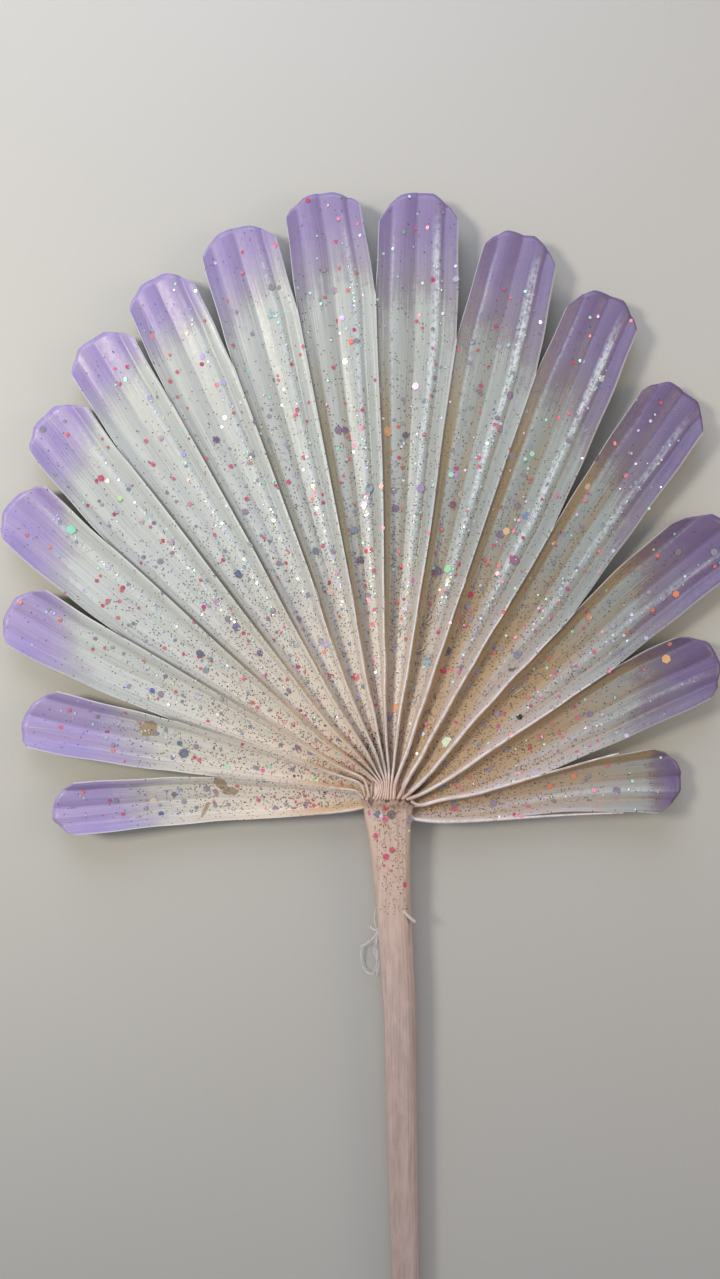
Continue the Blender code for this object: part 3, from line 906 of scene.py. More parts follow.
def petiole_skin():
    """Thin pinkish paint over the stalk's long grain, browner at the torn rim."""
    nodes = Nodes("petiole_skin")
    spot = nodes.spot
    grain = nodes.noise(nodes.stretch(spot, (2300.0, 26.0, 2300.0)), 1.0, 3.0, 0.6)
    streaks = nodes.noise(nodes.stretch(spot, (520.0, 9.0, 520.0)), 1.0, 2.0, 0.5)
    mist = nodes.noise(spot, 2200.0, 3.0, 0.7)
    patches = nodes.noise(spot, 60.0, 3.0, 0.6)
    along = nodes.add("ShaderNodeSeparateXYZ", {0: spot}).outputs[1]
    upper = nodes.ramp(along, -0.03, 0.03)
    lower = nodes.ramp(along, -0.2, -0.08, 1.0, 0.0)
    base = nodes.mix(upper, PETIOLE_SKIN, (214, 186, 166))
    base = nodes.mix(nodes.times(lower, 0.8), base, (172, 158, 164))
    base = nodes.mix(nodes.ramp(streaks, 0.42, 0.66, 0.0, 0.4), base, (150, 122, 112))
    blush = nodes.noise(nodes.stretch(spot, (700.0, 160.0, 700.0)), 1.0, 3.0, 0.6)
    blush = nodes.times(nodes.ramp(blush, 0.42, 0.64, 0.0, 0.5), nodes.ramp(along, -0.06, 0.02, 0.5, 1.0))
    base = nodes.mix(blush, base, (222, 196, 190))
    base = nodes.mix(nodes.ramp(grain, 0.45, 0.75, 0.0, 0.35), base, (212, 200, 196))
    base = nodes.mix(nodes.ramp(mist, 0.62, 0.75, 0.0, 0.4), base, (116, 92, 84))
    torn = nodes.ramp(along, 0.0285, 0.0325)
    brown = nodes.times(torn, nodes.ramp(patches, 0.35, 0.6, 0.3, 0.8))
    colour = nodes.mix(brown, base, (132, 94, 70))
    nodes.set(nodes.shader.inputs["Base Color"], colour)
    height = nodes.plus(grain, nodes.times(mist, 0.3))
    nodes.bump(height, 0.5, 0.0002)
    nodes.gloss(nodes.ramp(grain, 0.3, 0.7, 0.4, 0.55), 0.15, 0.25)
    return nodes.material


def hub_crown():
    """The fibrous crown in front of the torn rim, ridged lengthwise and stained."""
    nodes = Nodes("hub_crown")
    spot = nodes.spot
    ridges = nodes.noise(nodes.stretch(spot, (1700.0, 90.0, 300.0)), 1.0, 2.0, 0.5)
    mist = nodes.noise(spot, 1900.0, 3.0, 0.7)
    colour = nodes.mix(nodes.ramp(ridges, 0.38, 0.62), (122, 92, 76), (214, 190, 178))
    colour = nodes.mix(nodes.ramp(mist, 0.55, 0.72, 0.0, 0.5), colour, (92, 78, 76))
    return nodes.finish(colour, (ridges, 0.8, 0.0004), (0.45,))


def cut_pith():
    """The cut lower end of the stalk: pale pith with darker fibre ends."""
    nodes = Nodes("cut_pith")
    spot = nodes.spot
    cells = nodes.add("ShaderNodeTexVoronoi", {"Vector": spot, "Scale": 1700.0}).outputs["Distance"]
    fibres = nodes.ramp(cells, 0.1, 0.4, 1.0, 0.0)
    return nodes.finish(nodes.mix(fibres, (206, 190, 158), (132, 104, 76)), (cells, 0.5, 0.0002), (0.75,))


# Where the cords of the folds meet the torn rim, from the hub
CORD_STARTS = (
    (-6.6, -2.1), (-6.7, 0.4), (-6.3, 0.9), (-5.2, 0.8), (-4.2, 0.5), (-3.3, 0.3), (-2.5, 0.3), (-1.7, 0.2),
    (-1.0, 0.2), (-0.3, 0.2), (0.5, 0.2), (1.4, 0.3), (2.4, 0.4), (3.6, 0.4), (4.7, 0.3), (5.9, -0.2),
    (6.1, -4.4),
)
CORD_END = 66.0


def tube(points, radii, sides):
    """A closed round tube through points."""
    rings = []
    for index, (point, radius) in enumerate(zip(points, radii)):
        before = points[max(0, index - 1)]
        after = points[min(len(points) - 1, index + 1)]
        along = (after - before).normalized()
        side = along.cross(Vector((0.0, 0.0, 1.0)))
        if side.length < 0.05:
            side = along.cross(Vector((1.0, 0.0, 0.0)))
        side.normalize()
        up = side.cross(along)
        rings.append(circle(point, radius, side, up, sides))
    return loft(rings)


def join(parts):
    """Several (points, faces) as one."""
    points = []
    faces = []
    for part_points, part_faces in parts:
        first = len(points)
        points += part_points
        faces += [tuple(first + number for number in face) for face in part_faces]
    return points, faces


def add_tubes(name, parts, material):
    """Tubes as one piece of the leaf."""
    points, faces = join(parts)
    piece = make_piece(name, points, faces, [material])


def taper(path, wide, narrow, sides):
    """A tube along a path whose radius changes evenly from one value to another."""
    return tube(path, [mix(wide, narrow, index / len(path)) for index in range(len(path))], sides)


def smooth_path(points, steps):
    """Points of a Catmull-Rom curve through the given ones."""
    path = []
    padded = [points[0]] + list(points) + [points[-1]]
    for index in range(len(points) - 1):
        a, b, c, d = padded[index:index + 4]
        for step in range(steps):
            t = step / steps
            curve = (2 * a - 5 * b + 4 * c - d) * t**2 + (3 * b - a - 3 * c + d) * t**3
            path.append(0.5 * (2 * b + (c - a) * t + curve))
    path.append(points[-1])
    return path


def nose_top(x, forward):
    """Height of the nose above the rim's foot, at a place across it and ahead of the rim."""
    centre, half, under, thickness = petiole_station(-0.1 if forward > -0.1 else forward)
    scale = read_profile(((0.0, 1.0), *NOSE), forward, clamp)
    up = top_share(x, centre, half * scale)
    return mix(KEEL_AT_HUB + 1.0, petiole_height(under, thickness, up) - RIM_DROP * up, scale)


def fold_top(fold, radius):
    """A point on the ridge of a fold."""
    x, y = place(fold_angle(fold, radius), radius)
    section = read_profile(FOLD_HEIGHT, radius)
    return Vector((x, y, keel_height(fold_angle(fold, radius), radius) + section + LEAF_THICKNESS * 2.0))


def add_cords():
    """The rounded pale cord that each fold becomes as it nears the hub."""
    draw = random.Random(SEED + 3)
    parts = []
    for fold in range(len(FOLDS)):
        start_x, start_y = CORD_STARTS[fold]
        first = Vector((HUB_X + start_x, HUB_Y + start_y, nose_top(start_x, start_y)))
        points = [first]
        if 3 < fold < 12:
            x, y = place(fold_angle(fold, 5.0), 4.6)
            points.append(Vector((x, y, nose_top(x - HUB_X, y - HUB_Y) + 0.15)))
        radius = 9.0 if fold else 11.0
        while radius < CORD_END:
            point = fold_top(fold, radius)
            sway = 0.12 * math.sin(radius * 0.4 + fold * 1.3)
            points.append(point + Vector((sway, 0.0, -0.34 - 0.2 * ease(radius / CORD_END))))
            radius += 5.0
        path = smooth_path(points[:5] if fold < 7 else points, 5)
        wide = 0.5 if fold > 10 else mix(0.36, 0.3, hill(fold, 7.0, 4.0))
        narrow = 0.16 if fold < 7 else 0.26
        radii = []
        for index in range(len(path)):
            radius = mix(wide, narrow, ease(index / (len(path) - 1)))
            radii.append(max(0.1, radius + draw.uniform(-0.03, 0.03)))
        parts.append(tube(path, radii, 10))
    add_tubes("fold_cords", parts, cord_skin())


def cord_skin():
    """Pale pinkish paint worn over the fibre of the folds."""
    nodes = Nodes("cord_skin")
    spot = nodes.spot
    worn = nodes.noise(spot, 420.0, 3.0, 0.6)
    mist = nodes.noise(spot, 2400.0, 2.0, 0.6)
    colour = nodes.mix(nodes.ramp(worn, 0.45, 0.7, 0.0, 0.5), (226, 214, 212), (172, 146, 128))
    colour = nodes.mix(nodes.ramp(mist, 0.58, 0.7, 0.0, 0.4), colour, (120, 100, 92))
    hub = (HUB_X * MM, HUB_Y * MM, KEEL_AT_HUB * MM)
    away = nodes.add("ShaderNodeVectorMath", {0: spot, 1: hub}, operation="DISTANCE").outputs["Value"]
    root = nodes.times(nodes.ramp(away, 0.005, 0.012, 1.0, 0.0), nodes.ramp(worn, 0.3, 0.6, 0.5, 0.9))
    colour = nodes.mix(root, colour, (196, 164, 146))
    return nodes.finish(colour, (nodes.plus(worn, nodes.times(mist, 0.4)), 0.5, 0.0002), (0.36, 0.3, 0.2))


def hex_flake(centre, normal, radius, turn, sides):
    """A thin flake as a closed prism."""
    across = normal.cross(Vector((math.cos(turn), math.sin(turn), 0.31))).normalized()
    along = normal.cross(across)
    lifts = (FLAKE_THICKNESS * 0.5, -FLAKE_THICKNESS * 0.5)
    return loft([circle(centre + normal * lift, radius, across, along, sides) for lift in lifts])


def turn_normal(normal, tilt, draw):
    """A direction tipped from a normal by a random amount up to a tilt, in degrees."""
    heading = draw.uniform(0.0, 2.0 * math.pi)
    side = normal.cross(Vector((math.cos(heading), math.sin(heading), 0.2))).normalized()
    return (Matrix.Rotation(math.radians(draw.uniform(0.0, tilt)), 3, side) @ normal).normalized()


# Kinds of glitter: how many, smallest and largest radius, tilt, the colours that a flake may have, and where
# it lies along the blade: the share of its reach where it thins out, and how sharply
GLITTER = {
    "rose": (
        380, 0.42, 0.68, 14.0, ((214, 84, 104), (222, 116, 136), (208, 78, 132), (226, 118, 104)), 0.8, 0.35,
    ),
    "smoke": (
        110, 0.6, 1.1, 8.0, ((158, 142, 164), (166, 150, 172), (150, 150, 164), (146, 130, 152)), 0.8, 0.3,
    ),
    "teal": (
        340, 0.36, 0.66, 12.0, ((150, 168, 172), (138, 156, 166), (156, 160, 178), (136, 142, 160)), 0.7, 0.3,
    ),
    "peach": (5, 0.8, 1.2, 8.0, ((240, 170, 130), (246, 196, 140), (250, 214, 170)), 0.95, 0.1),
    "mint": (
        340, 0.24, 0.5, 16.0, ((176, 244, 214), (206, 250, 226), (214, 190, 255), (240, 226, 255)), 0.85, 0.3,
    ),
}
FLAKE_THICKNESS = 0.05

# The finest glitter, in the same order but without a tilt
SPECK_COLOURS = ((64, 60, 64), (92, 80, 66), (62, 74, 86), (132, 110, 80), (96, 66, 84))
SPECKS = (11500, 0.1, 0.2, SPECK_COLOURS, 0.5, 0.35)

# Dust on the stalk
PETIOLE_DUST = ((70, 58, 56), (96, 74, 60), (84, 70, 74), (206, 104, 118), (176, 146, 96), (60, 56, 60))

# The flakes that stand out, listed one by one: kind, place in the photo, radius and colour. Those on the hub
# lie on the top of the stalk
FLAKES_BY_HAND = (
    ("peach", 388, 430, 1.5, (240, 168, 128)), ("peach", 563, 712, 1.45, (246, 178, 130)),
    ("peach", 667, 659, 1.3, (244, 190, 130)), ("peach", 152, 802, 1.0, (250, 226, 190)),
    ("peach", 592, 617, 0.9, (244, 150, 110)), ("peach", 557, 542, 0.9, (250, 170, 150)),
    ("peach", 677, 594, 1.0, (250, 150, 110)), ("peach", 575, 777, 0.85, (246, 150, 110)),
    ("peach", 551, 787, 0.8, (240, 140, 100)), ("peach", 669, 644, 0.7, (250, 170, 140)),
    ("mint", 447, 742, 1.6, (226, 252, 214)), ("mint", 70, 529, 1.4, (160, 240, 206)),
    ("mint", 315, 780, 1.1, (222, 250, 200)), ("mint", 159, 710, 1.0, (190, 240, 210)),
    ("mint", 226, 769, 1.0, (190, 240, 210)), ("mint", 449, 568, 1.2, (150, 226, 170)),
    ("smoke", 432, 562, 1.5, (98, 84, 106)), ("smoke", 438, 570, 1.3, (112, 94, 116)),
    ("smoke", 447, 651, 1.45, (100, 90, 108)), ("smoke", 520, 717, 0.9, (44, 40, 44)),
    ("smoke", 182, 754, 1.4, (110, 116, 142)), ("teal", 427, 662, 1.5, (110, 126, 138)),
    ("teal", 441, 785, 1.4, (120, 134, 150)), ("teal", 178, 744, 0.8, (96, 140, 150)),
    ("teal", 150, 691, 0.8, (100, 112, 170)), ("teal", 160, 815, 0.8, (100, 112, 170)),
    ("rose", 125, 713, 0.8, (222, 70, 96)), ("rose", 124, 761, 0.8, (222, 70, 96)),
    ("rose", 190, 772, 0.8, (222, 70, 96)), ("rose", 411, 631, 0.9, (214, 64, 84)),
    ("rose", 472, 594, 0.9, (214, 64, 84)), ("rose", 444, 671, 0.9, (214, 64, 84)),
    ("rose", 433, 771, 0.8, (224, 74, 92)), ("rose", 99, 477, 1.0, (224, 84, 130)),
    ("mint", 118, 497, 0.8, (212, 250, 176)), ("mint", 202, 356, 0.8, (196, 178, 255)),
    ("mint", 223, 382, 0.8, (204, 192, 255)), ("mint", 149, 398, 0.7, (200, 184, 255)),
    ("mint", 224, 416, 0.7, (230, 170, 250)), ("smoke", 215, 438, 1.0, (130, 102, 140)),
    ("smoke", 338, 428, 1.1, (146, 122, 150)), ("smoke", 345, 428, 1.0, (130, 102, 136)),
    ("mint", 182, 453, 0.7, (198, 190, 255)), ("mint", 247, 370, 0.9, (160, 232, 222)),
    ("teal", 271, 315, 1.0, (152, 182, 190)), ("mint", 125, 379, 0.7, (180, 230, 225)),
    ("mint", 342, 317, 0.8, (200, 184, 255)), ("mint", 345, 360, 0.8, (190, 250, 176)),
    ("rose", 153, 336, 0.9, (236, 150, 140)), ("rose", 351, 341, 0.8, (224, 104, 84)),
    ("smoke", 406, 433, 1.0, (112, 92, 120)), ("teal", 369, 487, 1.2, (160, 176, 186)),
    ("smoke", 364, 503, 1.1, (172, 158, 182)), ("smoke", 396, 507, 1.1, (132, 114, 142)),
    ("teal", 354, 529, 1.1, (130, 150, 166)), ("smoke", 360, 559, 1.1, (112, 102, 120)),
    ("teal", 315, 550, 1.0, (122, 136, 142)), ("smoke", 300, 558, 1.0, (150, 132, 170)),
    ("smoke", 330, 501, 1.0, (166, 152, 182)), ("teal", 237, 573, 1.3, (112, 118, 150)),
    ("mint", 305, 579, 0.6, (250, 250, 244)), ("peach", 330, 591, 1.1, (240, 206, 184)),
    ("rose", 368, 600, 0.9, (192, 74, 122)), ("smoke", 235, 627, 1.3, (132, 122, 162)),
    ("teal", 198, 654, 1.3, (112, 118, 146)), ("smoke", 259, 653, 1.0, (132, 112, 150)),
    ("smoke", 325, 644, 1.1, (166, 152, 196)), ("rose", 356, 677, 1.1, (202, 94, 104)),
    ("smoke", 511, 394, 1.1, (142, 114, 152)), ("smoke", 416, 384, 1.1, (176, 152, 186)),
    ("smoke", 421, 487, 1.2, (182, 154, 202)), ("mint", 452, 473, 0.8, (190, 246, 216)),
    ("mint", 457, 473, 0.7, (214, 150, 236)), ("smoke", 462, 492, 1.1, (112, 116, 120)),
    ("smoke", 454, 503, 1.1, (142, 94, 112)), ("smoke", 481, 510, 1.1, (132, 108, 136)),
    ("teal", 528, 514, 1.1, (122, 146, 182)), ("smoke", 520, 504, 1.0, (122, 102, 122)),
    ("smoke", 502, 533, 1.1, (142, 118, 146)), ("rose", 516, 559, 1.4, (156, 104, 130)),
    ("mint", 534, 452, 0.8, (190, 246, 204)), ("mint", 527, 457, 0.6, (190, 246, 204)),
    ("smoke", 513, 668, 1.4, (112, 114, 120)), ("smoke", 519, 655, 1.3, (142, 142, 156)),
    ("mint", 449, 580, 0.8, (246, 250, 204)), ("rose", 414, 580, 0.7, (222, 124, 200)),
)
FLAKES_ON_HUB = (
    ("smoke", 408, 820, 1.4, (150, 138, 150)), ("smoke", 391, 814, 1.3, (134, 110, 106)),
    ("teal", 378, 814, 1.1, (128, 138, 156)), ("mint", 381, 816, 0.6, (236, 226, 255)),
    ("mint", 409, 832, 0.4, (220, 250, 235)), ("rose", 370, 813, 0.8, (224, 120, 148)),
    ("rose", 385, 819, 0.85, (226, 104, 132)), ("rose", 386, 807, 0.8, (214, 70, 90)),
    ("rose", 376, 836, 0.85, (220, 108, 132)), ("rose", 392, 850, 0.85, (216, 96, 112)),
    ("rose", 386, 857, 0.9, (226, 86, 130)), ("rose", 405, 886, 0.8, (200, 86, 84)),
    ("rose", 384, 866, 0.45, (222, 110, 130)), ("rose", 391, 871, 0.45, (222, 120, 120)),
)


def photo_ray(pixel, height):
    """The plan position of a point of the photo at a height above the table, in millimetres."""
    scale = PHOTO_SCALE * (1.0 - height / CAMERA_PLACE[2])
    x = CAMERA_PLACE[0] + (pixel[0] - PHOTO_MIDDLE[0]) * scale
    return x, CAMERA_PLACE[1] - (pixel[1] - PHOTO_MIDDLE[1]) * scale


def find_on_blade(x, y):
    """The segment, share across and radius of a plan position."""
    radius = math.hypot(x - HUB_X, y - HUB_Y)
    angle = math.degrees(math.atan2(x - HUB_X, y - HUB_Y))
    for segment, ends in enumerate(ENDS):
        left = edge_angle(segment, radius, ends[0], ends[1])
        right = edge_angle(segment + 1, radius, ends[4], ends[5])
        if left <= angle <= right:
            return segment, (angle - left) / (right - left), radius
    return None


def flake_on_blade(segment, across, radius, size, sides, tilt, draw):
    """A flake that lies on the blade, tipped a little."""
    normal = leaf_normal(segment, across, radius)
    facing = turn_normal(normal, tilt, draw)
    lift = 0.05 + size * 0.35 * math.sqrt(max(0.0, 1.0 - normal.dot(facing) ** 2))
    centre = leaf_top(segment, across, radius) + normal * lift
    return hex_flake(centre, facing, size, draw.uniform(0.0, 3.14), sides)


def random_place(draw, thin_at, softness, inner):
    """A random place on the blade beyond a radius, evenly by area, that thins out towards the tips."""
    while True:
        x = draw.uniform(-102.0, 102.0)
        y = draw.uniform(20.0, 199.0)
        found = find_on_blade(x, y)
        if not found or found[2] < inner:
            continue
        segment, across, radius = found
        end = read_profile(CUTS[segment], across, clamp)
        if radius > end - 0.9:
            continue
        share = radius / end
        if draw.random() < 1.0 - 0.93 * ease((share - thin_at + softness) / (2.0 * softness)):
            return found


def on_petiole_top(x, y):
    """Height of the petiole's upper side at a plan position."""
    centre, half, under, thickness = petiole_station(min(-0.3, y - HUB_Y))
    return petiole_height(under, thickness, top_share(x - HUB_X, centre, half)) - 0.05


# Glints along the crests: how many and in which colours, pale and bright so that they read as painted glints
# from any side
GLINTS = (900, ((190, 250, 224), (244, 250, 250), (220, 200, 255), (232, 244, 190), (206, 226, 255)))


def crest_glints(draw):
    """Small long pale flakes strung along the crests, coloured bright as painted glints that show from any
    side.
    """
    count, colours = GLINTS
    weights = [0.4, 0.5, 0.8, 1.0, 1.0, 1.0, 1.0, 1.0, 1.0, 0.7, 0.7, 0.6, 0.4, 0.3, 0.2, 0.3]
    found = []
    for _ in range(count):
        segment = draw.choices(range(len(ENDS)), weights)[0]
        radius = ENDS[segment][3] * draw.uniform(0.32, 0.92)
        across = mix(0.66, 0.76, rise(radius, 60.0, 80.0)) + draw.gauss(0.0, 0.035)
        size = draw.choice((draw.uniform(0.14, 0.3), draw.uniform(0.2, 0.44)))
        sides = draw.choice((3, 4, 6))
        found.append((flake_on_blade(segment, across, radius, size, sides, 16.0, draw), draw.choice(colours)))
    return found


# Dust that has gathered near the hub: photo centre, spread in millimetres, how many, radii and colours
DUST = (
    ((372, 747), 4.5, 150, 0.12, 0.3, ((34, 52, 48), (54, 66, 62), (60, 100, 96), (44, 40, 44))),
    ((345, 765), 10.0, 110, 0.16, 0.4, ((224, 100, 130), (230, 124, 140), (206, 92, 150), (232, 140, 124))),
    ((320, 745), 16.0, 100, 0.18, 0.46, ((224, 100, 130), (230, 124, 140), (96, 74, 84), (232, 140, 124))),
    ((302, 812), 6.0, 26, 0.3, 0.56, ((226, 104, 140), (232, 128, 150), (150, 140, 190), (234, 146, 130))),
    ((420, 740), 12.0, 60, 0.16, 0.34, ((206, 84, 104), (170, 60, 90), (196, 160, 96), (70, 60, 56))),
    ((430, 808), 5.0, 50, 0.14, 0.3, ((214, 170, 96), (190, 132, 70), (84, 62, 48), (206, 84, 104))),
    ((310, 800), 9.0, 70, 0.16, 0.34, ((206, 84, 104), (218, 110, 120), (104, 92, 130), (196, 150, 90))),
)


def hub_dust(draw):
    """Fine flakes that thin out round each place where dust has gathered."""
    dust = []
    for pixel, spread, count, small, large, colours in DUST:
        x, y = photo_ray(pixel, 7.0)
        for _ in range(count):
            found = find_on_blade(draw.gauss(x, 0.45 * spread), draw.gauss(y, 0.45 * spread))
            if found and found[2] > 9.0:
                flake = flake_on_blade(*found, draw.uniform(small, large), 4, 24.0, draw)
                dust.append((flake, draw.choice(colours)))
    return dust


def petiole_specks(draw):
    """Dust of dark, brown, rose and gold on the top of the stalk, thick at the hub."""
    found = []
    for _ in range(420):
        y = HUB_Y - 0.6 - 30.0 * draw.random() ** 1.7
        centre, half, _, _ = petiole_station(y - HUB_Y)
        x = HUB_X + centre + half * draw.uniform(-0.8, 0.8)
        facing = turn_normal(Vector((0.0, 0.0, 1.0)), 20.0, draw)
        spot = Vector((x, y, on_petiole_top(x, y) + 0.04))
        flake = hex_flake(spot, facing, draw.uniform(0.1, 0.24), draw.uniform(0.0, 3.14), 3)
        found.append((flake, draw.choice(PETIOLE_DUST)))
    return found


def add_glitter():
    """Glitter flakes stuck in the paint, each kind as one piece."""
    draw = random.Random(SEED + 7)
    flakes = {name: [] for name in GLITTER}
    for kind, (count, small, large, tilt, colours, thin_at, softness) in GLITTER.items():
        for _ in range(count):
            found = random_place(draw, thin_at, softness, 14.0)
            flake = flake_on_blade(*found, draw.uniform(small, large), 6, tilt, draw)
            flakes[kind].append((flake, draw.choice(colours)))
    for kind, x, y, size, colour in FLAKES_BY_HAND:
        found = find_on_blade(*photo_ray((x, y), 5.0))
        if found:
            flakes[kind].append((flake_on_blade(*found, size, 6, 5.0, draw), colour))
    for kind, x, y, size, colour in FLAKES_ON_HUB:
        x, y = photo_ray((x, y), 9.5)
        centre = Vector((x, y, on_petiole_top(x, y) + 0.1))
        facing = turn_normal(Vector((0.0, 0.0, 1.0)), 8.0, draw)
        flakes[kind].append((hex_flake(centre, facing, size, draw.uniform(0.0, 3.14), 6), colour))
    flakes["mint"] += crest_glints(draw)
    flakes["specks"] = petiole_specks(draw) + hub_dust(draw)
    count, small, large, colours, thin_at, softness = SPECKS
    for _ in range(count):
        found = random_place(draw, thin_at, softness, 9.0)
        flake = flake_on_blade(*found, draw.uniform(small, large), 4, 25.0, draw)
        flakes["specks"].append((flake, draw.choice(colours)))
    for kind, found in flakes.items():
        add_flakes("glitter_" + kind, found)


def add_flakes(name, flakes):
    """Flakes as one mesh, with each flake's own colour."""
    points, faces = join([flake for flake, _ in flakes])
    piece = make_piece(name, points, faces, [glitter_film(name)], smooth=False)
    colours = []
    for (flake_points, _), colour in flakes:
        colours += list(linear(colour)) * len(flake_points)
    layer = piece.data.attributes.new("film", "FLOAT_COLOR", "POINT")
    layer.data.foreach_set("color", colours)


def glitter_film(name):
    """Shiny foil, a little uneven, in the colour of each flake."""
    nodes = Nodes(name + "_film")
    spot = nodes.spot
    film = nodes.add("ShaderNodeAttribute", attribute_name="film").outputs["Color"]
    uneven = nodes.noise(spot, 1400.0, 2.0, 0.6)
    colour = nodes.mix(nodes.ramp(uneven, 0.4, 0.75, 0.0, 0.35), film, (176, 170, 176))
    rough = nodes.ramp(uneven, 0.3, 0.7, 0.2, 0.34)
    return nodes.finish(colour, (uneven, 0.3, 0.00005), (rough, 0.5, 0.1, 0.25))


def fibre_white(name, colour):
    """Pale fibre with a faint darker grain."""
    nodes = Nodes(name)
    spot = nodes.spot
    grain = nodes.noise(spot, 1800.0, 2.0, 0.6)
    return nodes.finish(nodes.mix(grain, colour, (190, 178, 172)), (grain, 0.3, 0.0001), (0.5,))


# Fine raised creases in the paint of three tips, as photo places
CREASES = (
    ((43, 416), (50, 424), (58, 434), (66, 443)),
    ((30, 727), (50, 729), (72, 732), (92, 734)),
    ((60, 808), (85, 807), (112, 805), (138, 804)),
)

# Torn fibres on the blade: photo place of the root, heading, how many and how long
TUFTS = (
    ((411, 622), 20.0, 7, 4.5),
    ((428, 626), 75.0, 8, 5.0),
    ((400, 630), 40.0, 5, 3.0),
    ((418, 655), 60.0, 7, 3.6),
    ((513, 692), 30.0, 7, 3.4),
    ((330, 775), 80.0, 8, 3.0),
)


# The splinter on the stalk, as photo places and heights
SPLINTER = (((397, 907), 7.6), ((403, 911), 8.0), ((409, 917), 8.1), ((415, 922), 7.6))

# Lint beside the stalk, as loops of photo places
LINT = (
    ((378, 903), (374, 917), (377, 931), (376, 946)),
    ((361, 946), (367, 942), (373, 939), (378, 931)),
    ((362, 946), (361, 958), (364, 969), (371, 974), (376, 966), (377, 950)),
    ((377, 938), (374, 952), (378, 963), (377, 976)),
    ((370, 926), (374, 930), (378, 929), (379, 936)),
)


def on_blade(pixel):
    """The point of the blade's upper side that a point of the photo shows."""
    return leaf_top(*find_on_blade(*photo_ray(pixel, 5.0)))


def add_fibres():
    """Torn fibres, the splinter on the petiole and the lint beside it."""
    draw = random.Random(SEED + 11)
    parts = []
    for pixel, heading, count, length in TUFTS:
        root = on_blade(pixel)
        for _ in range(count):
            turn = math.radians(heading + draw.uniform(-40.0, 40.0))
            ahead = Vector((math.sin(turn), math.cos(turn), 0.0))
            reach = length * draw.uniform(0.5, 1.0)
            bend = Vector((draw.uniform(-0.8, 0.8), draw.uniform(-0.8, 0.8), 0.0))
            start = root + Vector((draw.uniform(-1.0, 1.0), draw.uniform(-1.0, 1.0), -0.1))
            middle = start + ahead * reach * 0.5 + Vector((0.0, 0.0, 0.7)) + bend * 0.3
            end = start + ahead * reach + Vector((0.0, 0.0, draw.uniform(0.3, 1.2))) + bend
            parts.append(taper(smooth_path([start, middle, end], 5), 0.13, 0.04, 5))
    for line in CREASES:
        points = [on_blade(pixel) - Vector((0.0, 0.0, 0.04)) for pixel in line]
        parts.append(taper(smooth_path(points, 6), 0.09, 0.04, 6))
    splinter = [Vector((*photo_ray(pixel, height), height)) for pixel, height in SPLINTER]
    parts.append(taper(smooth_path(splinter, 5), 0.35, 0.5, 6))
    add_tubes("torn_fibres", parts, fibre_white("torn_fibre", (222, 214, 206)))
    add_lint(draw)


def add_lint(draw):
    """Loops of fine lint caught on the side of the petiole."""
    parts = []
    for loop in LINT:
        points = []
        for pixel in loop:
            height = mix(0.4, 4.5, ease((pixel[0] - 356.0) / 24.0))
            points.append(Vector((*photo_ray(pixel, height), height + draw.uniform(0.0, 0.3))))
        path = smooth_path(points, 7)
        for strand in range(2):
            side = Vector((draw.uniform(-0.3, 0.3), draw.uniform(-0.3, 0.3), draw.uniform(0.0, 0.3)))
            shaken = [point + side * math.sin(index * 0.3 + strand) for index, point in enumerate(path)]
            parts.append(tube(shaken, [0.1] * len(shaken), 5))
    add_tubes("lint", parts, fibre_white("lint_fibre", (240, 242, 246)))


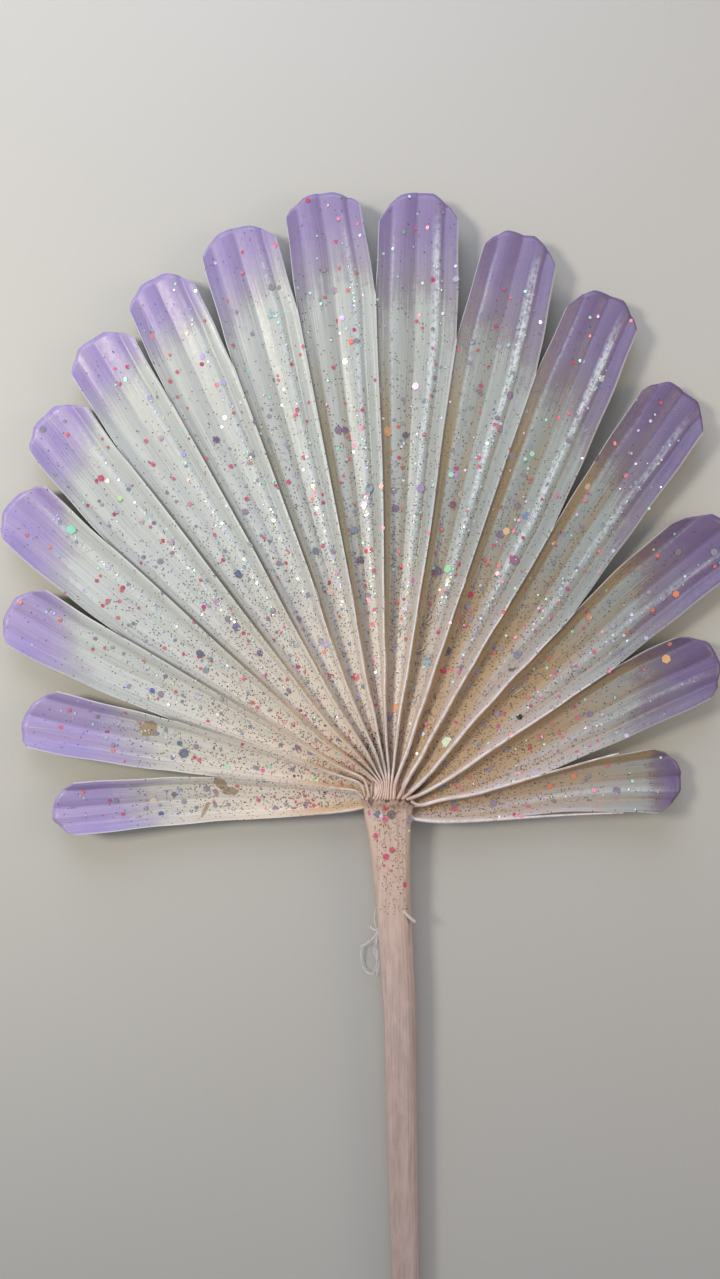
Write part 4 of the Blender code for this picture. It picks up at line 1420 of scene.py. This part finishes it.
# Lamps: name, kind, place, what it is aimed at, power, colour and its own settings. A warm key with a soft
# cone comes from the left, cool light from beyond the fan, and a weak warm fill from the right
LAMPS = (
    ("key", "SPOT", (-0.47, 0.18, 0.49), (-0.18, 0.21, 0.0), 11.8, (1.0, 0.93, 0.76),
     {"spot_size": math.radians(84.0), "spot_blend": 1.0, "shadow_soft_size": 0.08}),
    ("window", "AREA", (-0.1, 0.60, 0.32), (0.04, 0.2, 0.0), 1.9, (0.76, 0.82, 1.0),
     {"shape": "DISK", "size": 0.5}),
    ("fill", "AREA", (0.38, 0.12, 0.2), (0.06, 0.14, 0.0), 0.42, (1.0, 0.8, 0.52),
     {"shape": "DISK", "size": 0.2}),
)
SKY = (0.88, 0.91, 1.0, 1.0)
SKY_POWER = 0.4
TABLE_HALF = 3.0


def add_light(name, kind, spot, target, power, colour, settings):
    """A lamp at a place, turned towards its target."""
    data = bpy.data.lights.new(name, kind)
    data.energy = power
    data.color = colour
    for key, value in settings.items():
        setattr(data, key, value)
    light = bpy.data.objects.new(name, data)
    light.location = spot
    light.rotation_euler = (Vector(target) - Vector(spot)).to_track_quat("-Z", "Y").to_euler()
    bpy.context.scene.collection.objects.link(light)


def add_stage():
    """Camera, lamps, a dim cool sky and the pale table."""
    scene = bpy.context.scene
    data = bpy.data.cameras.new("camera")
    data.lens = CAMERA_LENS
    data.clip_start = 0.01
    camera = bpy.data.objects.new("camera", data)
    camera.location = [part * MM for part in CAMERA_PLACE]
    scene.collection.objects.link(camera)
    scene.camera = camera
    scene.view_settings.view_transform = "Standard"
    world = bpy.data.worlds.new("studio")
    world.use_nodes = True
    world.node_tree.nodes["Background"].inputs[0].default_value = SKY
    world.node_tree.nodes["Background"].inputs[1].default_value = SKY_POWER
    scene.world = world
    for lamp in LAMPS:
        add_light(*lamp)
    floor = bpy.data.meshes.new("table")
    corners = ((-1.0, -1.0), (1.0, -1.0), (1.0, 1.0), (-1.0, 1.0))
    floor.from_pydata([(x * TABLE_HALF, y * TABLE_HALF, 0.0) for x, y in corners], [], [(0, 1, 2, 3)])
    nodes = Nodes("table_top")
    cloud = nodes.noise(nodes.spot, 9.0, 3.0, 0.6)
    grain = nodes.noise(nodes.spot, 900.0, 2.0, 0.6)
    colour = nodes.mix(cloud, TABLE, (186, 184, 179))
    floor.materials.append(nodes.finish(colour, (grain, 0.05, 0.0001), (0.55,)))
    table = bpy.data.objects.new("table", floor)
    scene.collection.objects.link(table)


add_stage()
add_blade()
add_petiole()
add_cords()
add_glitter()
add_fibres()
